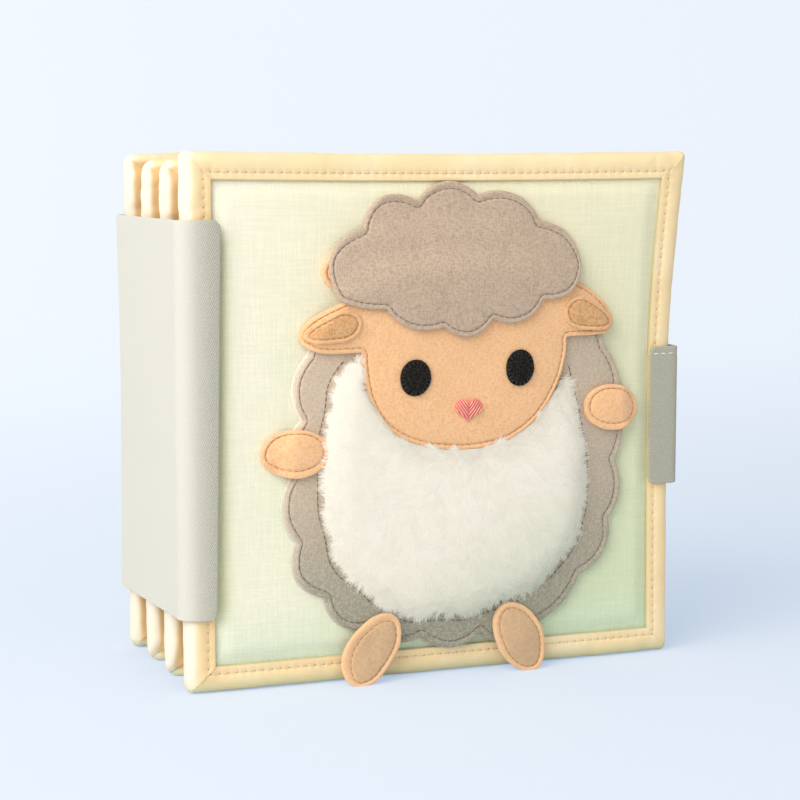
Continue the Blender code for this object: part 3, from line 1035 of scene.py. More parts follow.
def dashes(line: Array, pitch: float, gap: float, closed: bool = True) -> tuple[Array, Array]:
    """Start and end of each stitch along a line of points.

    Args:
        line: (count, 3) points.
        pitch: Distance from stitch to stitch.
        gap: Bare length between two stitches.
        closed: The line comes round to its start.

    Returns:
        (count, 3) starts and ends.
    """
    if closed:
        line = np.vstack([line, line[:1]])
    along = run_of(line)
    count = max(int(round(along[-1] / pitch)), 1)
    pitch = along[-1] / count
    first = np.arange(count) * pitch + gap / 2
    last = first + pitch - gap
    return read_along(first, along, line), read_along(last, along, line)


# Leaves


@dataclass(frozen=True)
class Flare:
    """How the front cover's free top corner stands off the page behind it."""

    reach: float = 11.0 * MM
    from_x: float = 70 * MM
    from_z: float = 118 * MM
    span_x: float = 130 * MM
    span_z: float = 82 * MM

    def at(self, x: Array, z: Array) -> Array:
        """How far a place on the cover moves along Y: -reach * u**1.6 * v**1.5.

        u and v run from 0 to 1 towards the fore edge and towards the top.

        Args:
            x: Distances from the spine edge.
            z: Distances from the foot.

        Returns:
            Distances along Y.
        """
        u = np.clip((x - self.from_x) / self.span_x, 0, 1.1)
        v = np.clip((z - self.from_z) / self.span_z, 0, 1.1)
        return -self.reach * u ** 1.6 * v ** 1.5


@dataclass
class LeafEdge:
    """The rounded square round a leaf, read at any inset from its edge."""

    size: float
    corner_radius: float
    draw_in: float = 1.0 * MM
    corner_steps: int = 7
    side_steps: int = 170

    def columns(self) -> tuple[Array, Array]:
        """The turn round a corner and the share along a side, for one side.

        Returns:
            Both, for each column.
        """
        eighth = math.pi / 4
        turn_in = np.linspace(eighth * 0.985, 0, self.corner_steps, endpoint=False)
        turn = np.concatenate([turn_in, np.zeros(self.side_steps), turn_in[::-1] * 1.015])
        share = np.concatenate([
            np.zeros(self.corner_steps),
            np.linspace(0, 1, self.side_steps),
            np.ones(self.corner_steps),
        ])
        return turn, share

    def at(self, inset: Array) -> tuple[Array, Array, Array]:
        """Places round the leaf at each inset.

        A side runs between the leaf's diagonals. Along it, a place is
        c - r * sin(turn) from one end or the other, and c - r * cos(turn)
        inwards, where r is the corner's radius at that inset and c = inset + r.

        Args:
            inset: (columns, places) or (places,) distances from the edge.

        Returns:
            x, z and the distance along the edge, each (columns, places).
        """
        turn, share = self.columns()
        inset = np.broadcast_to(np.asarray(inset, float), (4 * len(turn), np.shape(inset)[-1]))
        turn, share = np.tile(turn, 4)[:, None], np.tile(share, 4)[:, None]
        radius = np.maximum(self.corner_radius - inset, 0.15 * MM)
        c = inset + radius
        start = c - radius * np.sin(turn)
        along = (1 - share) * start + share * (self.size - start)
        inward = c - radius * np.cos(turn)
        side = np.repeat(np.arange(4), len(turn) // 4)[:, None]
        size = self.size
        x = np.choose(side, [along, size - inward, size - along, inward])
        z = np.choose(side, [inward, along, size - inward, size - along])
        top, fore = z / size, x / size
        z = z - self.draw_in * np.sin(np.pi * fore) * np.clip(top * 2 - 1, 0, 1)
        x = x - self.draw_in * np.sin(np.pi * top) * np.clip(fore * 2 - 1, 0, 1)
        return x, z, along + side * size


@dataclass
class Leaf:
    """One padded leaf: a linen cushion, its binding tape and its stitching."""

    name: str
    finishes: Finishes
    seed: int
    sway: Flare = Flare(reach=0.0)
    creasing: float = 1.0
    face: float = 6.0 * MM
    tape_width: float = 10.5 * MM
    tape_thick: float = 1.05 * MM
    hem: float = 0.5 * MM
    roll: float = 6.0 * MM
    squareness: float = 3.1
    dent: float = 0.36 * MM
    stitch_inset: float = STITCH_INSET
    stitch_pitch: float = STITCH_PITCH
    thread: float = 0.13 * MM
    cushion_edge: float = 4.6 * MM
    cushion_inset: float = 1.4 * MM
    cushion_round: float = 4.6 * MM
    crown: float = 1.6 * MM
    crown_slope: float = 7.0 * MM
    corner: float = 2.6 * MM
    corner_taper: float = 0.18
    taper_reach: float = 9.0 * MM
    slump: float = 0.0
    tip_creases: int = 5
    crease_count: int = 44
    deepest_crease: float = 0.72 * MM
    fold_height: float = 93 * MM
    fold_slope: float = 0.006
    shaded: bool = True

    def __post_init__(self) -> None:
        """Reads the leaf's place from the frame."""
        low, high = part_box(self.name + "_binding")
        self.left, self.foot = low.x, low.z
        self.plane = (low.y + high.y) / 2
        self.size = high.x - low.x

    def world(self, x: Array, z: Array, level: Array) -> Array:
        """Places on the leaf in the world.

        The top spine corner may slump: it comes down by an ease curve each way.

        Args:
            x: Distances from the spine edge.
            z: Distances from the foot.
            level: Distances from the middle plane, below 0 on the outer side.

        Returns:
            Points, in the broadcast shape and 3.
        """
        y = self.plane + level + self.sway.at(x, z)
        sag = self.slump * (1 - ease(x, 0, 26 * MM)) * ease(z, self.size - 40 * MM, self.size)
        return np.stack(np.broadcast_arrays(self.left + x, y, self.foot + z - sag), -1)

    def tape_level(self, inset: Array) -> Array:
        """The tape's outer face over the leaf's middle plane.

        A rounded roll, face * (1 - (1 - inset / roll)**n)**(1 / n), where n is
        the squareness, then flat, with a bell-shaped dent along the stitches.

        Args:
            inset: Distances from the edge.

        Returns:
            The levels.
        """
        share = np.clip(inset / self.roll, 0, 1)
        rolled = (1 - (1 - share) ** self.squareness) ** (1 / self.squareness)
        puff = 0.12 * MM * bump_at(inset, 4.6 * MM, 1.6 * MM)
        return self.face * rolled + puff - self.dent * bump_at(inset, self.stitch_inset, 1.0 * MM)

    def tape_profile(self) -> tuple[Array, Array, Array]:
        """The tape's closed section.

        Returns:
            Inset, signed level, and 1 on the outer side or 0 on the inner.
        """
        quarter = np.linspace(0, np.pi / 2, 13)
        rolled = self.roll * (1 - np.cos(quarter))
        flat = np.linspace(self.roll + 0.4 * MM, self.tape_width - self.hem, 15)
        outer_in = np.concatenate([rolled, flat])
        outer = self.tape_level(outer_in)
        bend = np.linspace(np.pi / 2, -np.pi / 2, 7)[1:]
        centre = self.face - self.hem
        hem_in = self.tape_width - self.hem + self.hem * np.cos(bend)
        hem = centre + self.hem * np.sin(bend)
        inner_in = np.concatenate([
            np.linspace(self.tape_width - 2 * self.hem, self.roll, 5),
            self.tape_thick + (self.roll - self.tape_thick) * (1 - np.cos(quarter[::-2][1:])),
        ])
        under = self.face - self.tape_thick
        share = np.clip((inner_in - self.tape_thick) / (self.roll - self.tape_thick), 0, 1)
        inner = under * np.sqrt(1 - (1 - share) ** 2)
        half_in = np.concatenate([outer_in, hem_in, inner_in])
        half = np.concatenate([outer, hem, inner])
        shown = np.concatenate([np.ones(len(outer_in)), np.zeros(len(hem_in) + len(inner_in))])
        inset = np.concatenate([half_in, half_in[-2:0:-1]])
        level = np.concatenate([half, -half[-2:0:-1]])
        return inset, level, np.concatenate([shown, shown[-2:0:-1]])

    def creases(self, along: Array, level: Array, inset: Array) -> Array:
        """Short slanting dents of the tape's roll, as deep as this leaf's creasing.

        Each is a bell across the tape's length, shifted along it by a slant
        times the level, and fades out towards the stitches.

        Args:
            along: Distances round the leaf's edge.
            level: Levels from the middle plane.
            inset: Distances from the edge.

        Returns:
            The dents' depths.
        """
        draw = np.random.default_rng(self.seed)
        count = self.crease_count
        places = draw.uniform(0, 4 * self.size, count)
        depth = draw.uniform(0.10, 0.55, count) * MM * self.creasing
        width = draw.uniform(1.1, 3.4, count) * MM
        slant = draw.uniform(-1.2, 1.2, count)
        tips = self.tip_creases
        places[:tips] = 3 * self.size + draw.uniform(-6, 32, tips) * MM
        depth[:tips] *= 1.9
        slant[:tips] *= 1.6
        total = np.zeros_like(along)
        for place, deep, wide, lean in zip(places, depth, width, slant):
            total += deep * bump_at(along - lean * level, place, wide)
        return np.minimum(total, self.deepest_crease) * (1 - ease(inset, 4.5 * MM, 7.5 * MM))

    def make_binding(self) -> None:
        """The tape: its section carried round the leaf, mitred at the corners."""
        edge = LeafEdge(self.size, self.corner)
        inset, level, shown = self.tape_profile()
        _, _, along = edge.at(inset)
        inset = np.broadcast_to(inset, along.shape)
        level = np.broadcast_to(level, along.shape)
        shown = shown[None, :]
        side = np.sign(level)
        on_side = along % self.size
        from_corner = np.minimum(on_side, self.size - on_side)
        taper = self.corner_taper * bump_at(from_corner, 0.0, self.taper_reach)
        rolling = 1 - ease(inset, 3 * MM, 9 * MM)
        level = level * (1 - taper * rolling)
        lap = 1 - ease(self.size - inset - on_side, 0.0, 3.5 * MM)
        tuck = 1 - ease(on_side - inset, 0.0, 1.6 * MM)
        on_face = ease(inset, 0.4 * MM, 3 * MM) * shown
        level = level + side * on_face * (0.22 * MM * lap - 0.12 * MM * tuck)
        wave = ripple(along, self.seed + 5, 55 * MM)
        level = level + side * shown * rolling * (0.16 * MM * wave * ease(inset, 0, 2 * MM))
        dents = self.creases(along, level, inset) * shown
        slack = (0.14 + 0.14 * ripple(along, self.seed + 9, 38 * MM)) * MM * self.creasing
        moved = inset + (dents * 0.35 + slack * rolling * shown) * (1 - ease(inset, 2 * MM, 7 * MM))
        level = level - side * dents * ease(np.abs(level), 1 * MM, 4 * MM)
        x, z, _ = edge.at(moved)
        points = self.world(x, z, level)
        rows, columns = along.shape
        faces = grid_faces(rows, columns, close_rows=True, close_columns=True)
        uv = np.stack([along, inset * np.where(side == 0, 1, side)], -1)
        # Shaded leaves take the tape with painted shade between the leaves.
        use = self.finishes.gap_shaded_binding if self.shaded else self.finishes.binding
        made = make_piece(self.name + "_binding_tape", points, [faces], use, uv)
        settle(made, self.name, [self.name + "_binding"])

    def cushion_level(self, x: Array, z: Array, inset: Array) -> Array:
        """The linen's height: a rounded rim, a ledge in the tape, then a crown.

        The crown rises as an ease curve and has slow waves, and one crease runs
        across the leaf where the cloth was folded.

        Args:
            x: Distances from the spine edge.
            z: Distances from the foot.
            inset: Distances from the nearest edge.

        Returns:
            Heights over the middle plane.
        """
        share = np.clip((inset - self.cushion_inset) / self.cushion_round, 0, 1)
        rim = self.cushion_edge * np.sqrt(1 - (1 - share) ** 2)
        start = self.tape_width
        crown, inner = self.crown, 1.0
        reaches = (np.minimum(x, self.size - x), np.minimum(z, self.size - z))
        taper = bump_at(np.maximum(*reaches), 0.0, self.taper_reach * 1.15)
        rolling = 1 - ease(np.minimum(*reaches), 3 * MM, 9 * MM)
        rim = rim * (1 - np.minimum(self.corner_taper * 1.25, 0.9) * taper * rolling)
        for reach in reaches:
            crown = crown * ease(reach, start - 0.5 * MM, start + self.crown_slope)
            inner = inner * ease(reach, start, start + 4 * MM)
        waves = ripple(x + 0.35 * z, self.seed, 90 * MM) * ripple(z - 0.2 * x, self.seed + 1, 70 * MM)
        fold = self.fold_height + self.fold_slope * (x - 0.1)
        crease = bump_at(z, fold, 1.1 * MM) * (1 - ease(x, 30 * MM, 110 * MM))
        return rim + crown + inner * (0.20 * MM * waves - 0.22 * MM * crease)

    def make_cushion(self) -> None:
        """The wadding in its two linen faces: rings from the rim to each middle."""
        edge = LeafEdge(self.size, self.corner, corner_steps=4, side_steps=110)
        middle = self.size / 2
        inset = np.concatenate([
            self.cushion_inset + self.cushion_round * (1 - np.cos(np.linspace(0, np.pi / 2, 7))),
            np.linspace(8 * MM, 20 * MM, 14),
            np.linspace(22 * MM, middle * 0.985, 42),
        ])
        x, z, _ = edge.at(inset)
        level = self.cushion_level(x, z, np.broadcast_to(inset, x.shape))
        outer, inner = (self.world(x, z, side.value * level).transpose(1, 0, 2) for side in Side)
        centre = np.array(middle)
        top = self.cushion_level(centre, centre, centre)
        poles = [self.world(centre, centre, side.value * top) for side in Side]
        points, faces = capped(np.concatenate([outer[::-1], inner[1:]]), poles)
        made = make_piece(self.name + "_cushion", points, faces, self.finishes.linen)
        nodes = [self.name + part for part in ("_wadding", "_outer_panel", "_inner_panel")]
        settle(made, self.name, nodes)

    def make_stitches(self) -> None:
        """Thread between the needle holes, along both faces' stitch lines."""
        pitch, inset = self.stitch_pitch, self.stitch_inset
        starts, ends, ups = [], [], []
        edge = LeafEdge(self.size, self.corner, corner_steps=1, side_steps=2000)
        x, z, along = edge.at(np.array([inset]))
        x, z, along = x[:, 0], z[:, 0], along[:, 0]
        order = np.argsort(along)
        first = np.arange(int(4 * self.size / pitch)) * pitch + pitch / 2 + 0.42 * MM
        last = first + pitch - 0.84 * MM
        same_side = (first // self.size) == (last // self.size)
        for place in (first, last):
            on_side = place % self.size
            same_side &= (on_side > inset) & (on_side < self.size - inset)
        first, last = first[same_side], last[same_side]
        level = self.tape_level(np.array(inset)) + 0.05 * MM
        for side in Side:
            for where, kept in ((first, starts), (last, ends)):
                px = np.interp(where, along[order], x[order])
                pz = np.interp(where, along[order], z[order])
                kept.append(self.world(px, pz, np.full_like(px, side.value * level)))
            ups.append(np.tile([0.0, side.value, 0.0], (len(first), 1)))
        sew(self.name + "_edge_stitches", self.name, np.concatenate(starts), np.concatenate(ends),
            np.concatenate(ups), self.thread, self.finishes.cream_thread)

    def build(self) -> None:
        """Makes the leaf's three pieces."""
        self.make_cushion()
        self.make_binding()
        self.make_stitches()


# Spine band, strap and tapes


@dataclass
class SpineBand:
    """Twill wrapped from the back cover round the spine to the front cover.

    It is cut between the leaves' hinge lines, where it stays in one plane at every pose.
    """

    finishes: Finishes
    thick: float = 1.1 * MM
    bend_radius: float = 6.5 * MM
    tip_radius: float = 3.0 * MM
    hem: float = 0.45 * MM
    bend_reach: float = 4.0 * MM
    slack: float = 0.30 * MM
    slack_wave: float = 110 * MM
    loose_from: Pair = (16 * MM, 26 * MM)
    pinch: float = 0.9 * MM
    pinch_place: Pair = (15 * MM, 7 * MM)
    tip_lift: float = 1.0 * MM
    lift_reach: float = 12 * MM
    foot_rise: float = 3.2 * MM
    rise_reach: float = 84 * MM
    lean: float = 2.6 * MM

    def __post_init__(self) -> None:
        """Reads the band's place from the frame and lays out its path."""
        front_low, front_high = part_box("spine_band_front_wing")
        _, back_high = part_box("spine_band_back_wing")
        _, span_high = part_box("spine_band_page_2")
        self.foot, self.height = front_low.z, front_high.z - front_low.z
        outer = front_low.x
        self.inset = (span_high.x - outer) / 2
        side, tip = outer + self.inset, front_high.x
        front, back = front_low.y + self.inset, back_high.y - self.inset
        self.hinge_x = outer
        self.hinges = {j["child"]: j["pos_m"][1] for j in frame["joints"]}
        corners = [(tip, back), (side, back), (side, front), (tip, front)]
        self.path = Path(corners, (self.bend_radius, self.bend_radius))
        self.turn = self.path.length / 2

    def distance(self, y: float) -> float:
        """Distance along the path of a place on the spine at that y."""
        middle = (self.path.points[0][1] + self.path.points[-1][1]) / 2
        return self.turn + middle - y

    def make_length(self, name: str, start: float, end: float, tip_start: bool,
                    tip_end: bool) -> bpy.types.Object:
        """One length of the band, from one distance along the path to another.

        Its foot rises evenly towards the front, and the front edge leans back
        towards its foot.

        Args:
            name: The piece's name.
            start: Where it starts along the path.
            end: Where it ends.
            tip_start: It starts at the cloth's hemmed end.
            tip_end: It ends at the cloth's hemmed end.

        Returns:
            The length of cloth.
        """
        length = end - start
        counts = (max(int(length / (0.8 * MM)), 12), 90)
        cut = Cut((length, self.height), counts, self.hem, self.tip_radius,
                  hemmed=(tip_start, tip_end))
        lean = self.lean * (1 - cut.up / self.height)
        low = start + (cut.pulled if tip_start else 0.0)
        high = end - (cut.pulled + lean if tip_end else 0.0)
        place = low + (high - low) * cut.share
        plan, normal = self.path.at(place)
        from_end = np.minimum(place, self.path.length - place)
        loose = ease(from_end, *self.loose_from)
        droop = self.slack * loose * (0.5 + 0.5 * ripple(cut.up, 3, self.slack_wave))
        lift = self.tip_lift * (1 - ease(from_end, 0, self.lift_reach))
        waist = np.sin(np.pi * cut.up / self.height) * bump_at(place, *self.pinch_place)
        droop = droop + self.pinch * waist
        plan = plan + normal * (lift - droop)[..., None]
        rise = self.foot_rise * np.clip((place - self.turn) / self.rise_reach + 0.5, 0, 1)
        level = self.foot + rise + cut.up * (1 - rise / self.height)
        uv = np.stack([place, cut.up], -1)
        return cloth_shell(name, plan, level, normal, self.thick * cut.thin, uv,
                           self.finishes.band)

    def build(self) -> None:
        """Three lengths that meet halfway between the hinges."""
        page_3, page_2, front = (self.hinges[k] for k in ("page_3", "page_2", "front_cover"))
        first_cut = self.distance((page_3 + page_2) / 2)
        second_cut = self.distance((page_2 + front) / 2)
        lengths = (
            ("spine_band_back", 0.0, first_cut, "back_cover", "page_3", page_3,
             ("spine_band_back_wing",)),
            ("spine_band_middle", first_cut, second_cut, "page_3", "page_2", page_2,
             ("spine_band_page_3", "spine_band_page_2")),
            ("spine_band_front", second_cut, self.path.length, "page_2", "front_cover", front,
             ("spine_band_front_wing",)),
        )
        for name, start, end, body_a, body_b, hinge, nodes in lengths:
            made = self.make_length(name, start, end, start == 0.0, end == self.path.length)
            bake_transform(made)
            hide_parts(*nodes)


@dataclass
class ClosureStrap:
    """Strap sewn on the front cover, round the fore edge, with its pads."""

    finishes: Finishes
    thick: float = 1.2 * MM
    bend_radius: float = 2.2 * MM
    ease_radius: float = 14.0 * MM
    trim: float = 1.4 * MM
    foot_trim: float = 1.3 * MM
    room: float = 0.3 * MM
    tip_radius: float = 3.2 * MM
    hem: float = 0.5 * MM
    bend_reach: float = 2.2 * MM
    topstitch_inset: float = 2.8 * MM
    topstitch_pitch: float = 3.3 * MM
    topstitch_gap: float = 1.2 * MM
    thread: float = 0.26 * MM
    pad_radius: float = 2.0 * MM
    pad_hem: float = 0.3 * MM

    def __post_init__(self) -> None:
        """Reads the strap's place from the frame and lays out its path."""
        low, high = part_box("strap_sewn_end")
        _, side_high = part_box("closure_strap")
        self.foot = low.z + self.foot_trim
        self.height = high.z - self.foot
        half = (high.y - low.y) / 2
        front = low.y + half
        self.hinge = (high.x, high.y)
        _, cover_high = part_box("front_cover_binding")
        pad_low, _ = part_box("loop_pad")
        start, near = low.x + self.trim, cover_high.x + self.room + self.thick / 2
        far = side_high.x - half
        corners = [(start, front), (near, front), (far, pad_low.y - self.trim), (far, side_high.y)]
        self.path = Path(corners, (self.bend_radius, self.ease_radius))
        self.wing = near - start - self.bend_radius

    def make_strap(self) -> None:
        """The strap as one cloth, with round corners at both tips."""
        length = self.path.length
        cut = Cut((length, self.height), (130, 60), self.hem, self.tip_radius)
        place = cut.pulled + (length - 2 * cut.pulled) * cut.share
        plan, normal = self.path.at(place)
        stitch = bump_at(cut.up, self.height - self.topstitch_inset, 0.7 * MM)
        thick = self.thick * cut.thin * (1 - 0.25 * stitch)
        made = cloth_shell("closure_strap_cloth", plan, self.foot + cut.up, normal, thick,
                           np.stack([place, cut.up], -1), self.finishes.strap)
        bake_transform(made)
        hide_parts("strap_sewn_end", "closure_strap")

    def make_topstitch(self) -> None:
        """White stitches along the strap's upper edge, one run on each body."""
        length = self.path.length
        pitch = self.topstitch_pitch
        starts = np.arange(1.6 * MM, length - 2 * pitch, pitch)
        ends = starts + pitch - self.topstitch_gap
        level = self.thick / 2 * 0.75 + 0.02 * MM
        z = self.foot + self.height - self.topstitch_inset
        for name, body, chosen in (
            ("strap_topstitch_front", "front_cover", ends < self.wing),
            ("strap_topstitch_side", "strap", starts > self.wing + 2.5 * self.bend_radius),
        ):
            rows = []
            for where in (starts[chosen], ends[chosen]):
                plan, normal = self.path.at(where)
                tall = np.full((len(where), 1), z)
                rows.append(np.concatenate([plan + normal * level, tall], -1))
            up = np.concatenate([normal, np.zeros((len(normal), 1))], -1)
            sew(name, body, rows[0], rows[1], up, self.thread, self.finishes.white_thread)

    def make_pad(self, node: str, body: str, material: Material) -> None:
        """A fastener pad: a thin round-cornered block with a fluffed face.

        Args:
            node: The CAD node that it replaces.
            body: The body that it rides on.
            material: Its finish.
        """
        low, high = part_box(node)
        depth, width, tall = high.x - low.x, high.y - low.y, high.z - low.z
        cut = Cut((width, tall), (22, 90), self.pad_hem, self.pad_radius, 0.1 * MM)
        place = cut.pulled + (width - 2 * cut.pulled) * cut.share
        plan = np.stack([np.full_like(place, (low.x + high.x) / 2), low.y + place], -1)
        fluff = 0.8 + 0.2 * np.random.default_rng(17).random(place.shape)
        made = cloth_shell(node + "_tape", plan, low.z + cut.up, (1.0, 0.0),
                           depth * cut.thin * fluff, np.stack([place, cut.up], -1), material)
        settle(made, body, [node])

    def build(self) -> None:
        """The strap, its topstitch and the two pads."""
        self.make_strap()
        self.make_topstitch()
        self.make_pad("loop_pad", "back_cover", self.finishes.loops)
        self.make_pad("hook_pad", "strap", self.finishes.hooks)


@dataclass
class SeamTape:
    """The tape that joins an inner leaf's spine edge to the band."""

    node: str
    body: str
    finishes: Finishes

    def build(self) -> None:
        """A flat tape with a stitch line down its middle."""
        low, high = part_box(self.node)
        width, tall = high.y - low.y, high.z - low.z
        cut = Cut((width, tall), (14, 80), 0.4 * MM)
        across = cut.share * width
        wave = 0.12 * MM * ripple(cut.up, 21, 40 * MM)
        plan = np.stack([(low.x + high.x) / 2 + wave * 0.3, low.y + across], -1)
        groove = 1 - 0.35 * bump_at(across, width / 2, 0.6 * MM)
        thick = (high.x - low.x) * 0.85 * cut.thin * groove
        uv = np.stack([cut.up, across + 0.02], -1)
        made = cloth_shell(self.node + "_cloth", plan, low.z + cut.up, (-1.0, 0.0), thick, uv,
                           self.finishes.binding)
        settle(made, self.body, [self.node])


# Lamb


def squared_reach(half: Pair, powers: Pair, angle: Array) -> Array:
    """How far an oval reaches at each angle from its centre.

    It is (|cos / half_x| ** p + |sin / half_z| ** p) ** (-1 / p), with one
    power above the centre and one below. A power over 2 makes it squarer.

    Args:
        half: Half sizes on x and z.
        powers: The power above the centre and the one below.
        angle: The angles.

    Returns:
        Distances from the centre.
    """
    power = np.where(np.sin(angle) > 0, powers[0], powers[1])
    across, along = np.abs(np.cos(angle)) / half[0], np.abs(np.sin(angle)) / half[1]
    return (across ** power + along ** power) ** (-1 / power)


@dataclass(frozen=True)
class Scallops:
    """An edge of rounded lobes, anticlockwise.

    Each lobe starts at one valley and ends at the next, and stands out from
    the line between them by its rise.
    """

    valleys_mm: tuple[Pair, ...]
    rises_mm: tuple[float, ...]
    roundness: float = 0.78
    steps: int = 120

    def outline(self) -> Array:
        """Its edge, where each lobe is rise * sin(pi * t) ** roundness.

        Returns:
            (count, 2) points.
        """
        start = np.array(self.valleys_mm) * MM
        run = np.roll(start, -1, 0) - start
        out = np.stack([run[:, 1], -run[:, 0]], -1) / np.hypot(*run.T)[:, None]
        share = (np.arange(self.steps) / self.steps)[None, :, None]
        rise = np.array(self.rises_mm)[:, None, None] * MM
        lobe = rise * np.sin(np.pi * share) ** self.roundness
        return (start[:, None] + run[:, None] * share + out[:, None] * lobe).reshape(-1, 2)


@dataclass(frozen=True)
class Blob:
    """A rounded outline by its centre and half sizes."""

    centre: Pair
    half: Pair
    powers: Pair = (2.0, 2.0)
    turn: float = 0.0
    egg: float = 0.0
    lean: float = 0.0

    def reach(self, angle: Array) -> Array:
        """Distance from the centre to the edge at each angle.

        The lean makes the left side squarer and the right side rounder.

        Args:
            angle: The angles.

        Returns:
            The distances.
        """
        local = angle - self.turn
        shift = -self.lean * np.cos(local)
        powers = (self.powers[0] + shift, self.powers[1] + shift)
        return squared_reach(self.half, powers, local) * (1 - self.egg * np.sin(local))

    def outline(self) -> Array:
        """Its edge as (x, z) points, anticlockwise."""
        angle = angles(2400)
        return np.stack(on_rays(self.centre, self.reach(angle), angle), -1)


@dataclass(frozen=True)
class Ear:
    """An ear from its tip to its root, both in leaf coordinates."""

    tip: Pair
    root: Pair
    half: float
    blunt: float = 2.2

    def measured(self, x: Array, z: Array) -> tuple[Array, Array, Array]:
        """Share along the ear's axis, distance from the axis, and half width there.

        The share p is 0 at the tip and 1 at the root, and the half width is
        half * sqrt(1 - (1 - p) ** blunt).

        Args:
            x: Distances from the spine edge.
            z: Distances from the foot.

        Returns:
            The three, for each place.
        """
        axis = np.subtract(self.root, self.tip)
        length = float(np.hypot(*axis))
        ux, uz = axis / length
        along = ((x - self.tip[0]) * ux + (z - self.tip[1]) * uz) / length
        across = np.abs((z - self.tip[1]) * ux - (x - self.tip[0]) * uz)
        wide = self.half * np.sqrt(np.clip(1 - np.clip(1 - along, 0, 1) ** self.blunt, 0, 1))
        return along, across, wide

    def outline(self) -> Array:
        """The ear on its own, with a round root.

        Returns:
            (count, 2) points, the farthest in it along each ray.
        """
        centre = np.add(np.multiply(self.tip, 0.42), np.multiply(self.root, 0.58))
        angle = angles(900)
        steps = np.linspace(0.0005, 0.016, 600)[:, None]
        along, across, wide = self.measured(*on_rays(centre, steps, angle))
        rounded = np.sqrt(np.clip(1 - np.clip((along - 0.62) / 0.38, 0, 1) ** 2, 0, 1))
        far = np.where((along > 0) & (across < wide * rounded), steps, 0).max(0)
        return np.stack(on_rays(centre, far, angle), -1)


@dataclass(frozen=True)
class Head:
    """The face as one outline with both ears and the patch behind the hair."""

    face: Blob
    ears: tuple[Ear, ...]
    farthest: float = 78 * MM
    ear_end: float = 1.6

    def outline(self) -> Array:
        """The farthest place along each ray that is in the face or an ear.

        An ear goes on into the head, to ear_end of its length.

        Returns:
            (count, 2) points.
        """
        angle = angles(4000)
        far = self.face.reach(angle)
        steps = np.linspace(0.02, self.farthest, 700)[:, None]
        for ear in self.ears:
            along, across, wide = ear.measured(*on_rays(self.face.centre, steps, angle))
            within = (along > 0) & (along < self.ear_end) & (across < wide)
            far = np.maximum(far, np.where(within, steps, 0).max(0))
        return np.stack(on_rays(self.face.centre, far, angle), -1)


def softened(loop: Array, times: int) -> Array:
    """A closed row of points, each mixed with its two neighbours.

    Args:
        loop: (count, 2) points.
        times: How often they are mixed.

    Returns:
        The new points.
    """
    for _ in range(times):
        loop = (np.roll(loop, 1, 0) + 2 * loop + np.roll(loop, -1, 0)) / 4
    return loop


def resampled(outline: Array, spacing: float, soften: int = 2) -> Array:
    """A closed outline with even steps, its sharpest turns slightly rounded.

    Args:
        outline: (count, 2) points.
        spacing: Distance from point to point.
        soften: How often neighbours are mixed.

    Returns:
        The new points.
    """
    loop = np.vstack([outline, outline[:1]])
    along = run_of(loop)
    count = int(along[-1] / spacing)
    return softened(read_along(np.arange(count) * along[-1] / count, along, loop), soften)


def inward(outline: Array, soften: int = 2) -> Array:
    """Unit normals of an anticlockwise outline that point inwards.

    Args:
        outline: (count, 2) points.
        soften: How often neighbours are mixed.

    Returns:
        A normal for each point.
    """
    run = np.roll(outline, -1, 0) - np.roll(outline, 1, 0)
    normal = softened(np.stack([-run[:, 1], run[:, 0]], -1), soften)
    return normal / np.maximum(np.hypot(*normal.T), 1e-9)[:, None]


def within_outline(outline: Array, x: Array, z: Array) -> Array:
    """Places inside a closed outline: an odd number of its edges lie beyond them.

    Args:
        outline: (count, 2) points.
        x: The places' first part.
        z: Their second part.

    Returns:
        True for each place inside.
    """
    after = np.roll(outline, -1, 0)
    low, high = outline[:, 1], after[:, 1]
    crosses = (low[None] > z[:, None]) != (high[None] > z[:, None])
    rise = np.where(high == low, 1e-12, high - low)
    at = outline[:, 0] + (z[:, None] - low) * (after[:, 0] - outline[:, 0]) / rise
    return (crosses & (x[:, None] < at)).sum(1) % 2 == 1


def nearest(places: Array, line: Array) -> Array:
    """Distance from each place to the nearest point of a line."""
    gaps = places[:, None] - line[None]
    return np.sqrt((gaps ** 2).sum(-1).min(1))


class DepthMap:
    """How far inside a closed outline a place is, below 0 outside, read from a grid."""

    step = 1.0 * MM
    reach = 16 * MM

    def __init__(self, outline: Array) -> None:
        """Measures the grid's places once, to reach beyond the outline's points.

        Args:
            outline: (count, 2) points.
        """
        edge = resampled(outline, 0.4 * MM, soften=0)
        self.low = edge.min(0) - self.reach
        counts = np.ceil((edge.max(0) + self.reach - self.low) / self.step).astype(int) + 1
        x, z = (self.low[k] + self.step * np.arange(counts[k]) for k in (0, 1))
        rows = []
        for level in z:
            places = np.stack([x, np.full_like(x, level)], -1)
            side = np.where(within_outline(edge, *places.T), 1.0, -1.0)
            rows.append(side * nearest(places, edge))
        self.depths = np.array(rows)

    def at(self, x: Array, z: Array) -> Array:
        """Depths at places, mixed from the four grid points round each.

        Args:
            x: Distances from the spine edge.
            z: Distances from the foot.

        Returns:
            The depths.
        """
        rows, columns = self.depths.shape
        across = np.clip((np.asarray(x) - self.low[0]) / self.step, 0, columns - 1.001)
        up = np.clip((np.asarray(z) - self.low[1]) / self.step, 0, rows - 1.001)
        column, row = across.astype(int), up.astype(int)
        s, t = across - column, up - row
        near = self.depths[row, column] * (1 - s) + self.depths[row, column + 1] * s
        far = self.depths[row + 1, column] * (1 - s) + self.depths[row + 1, column + 1] * s
        return near * (1 - t) + far * t


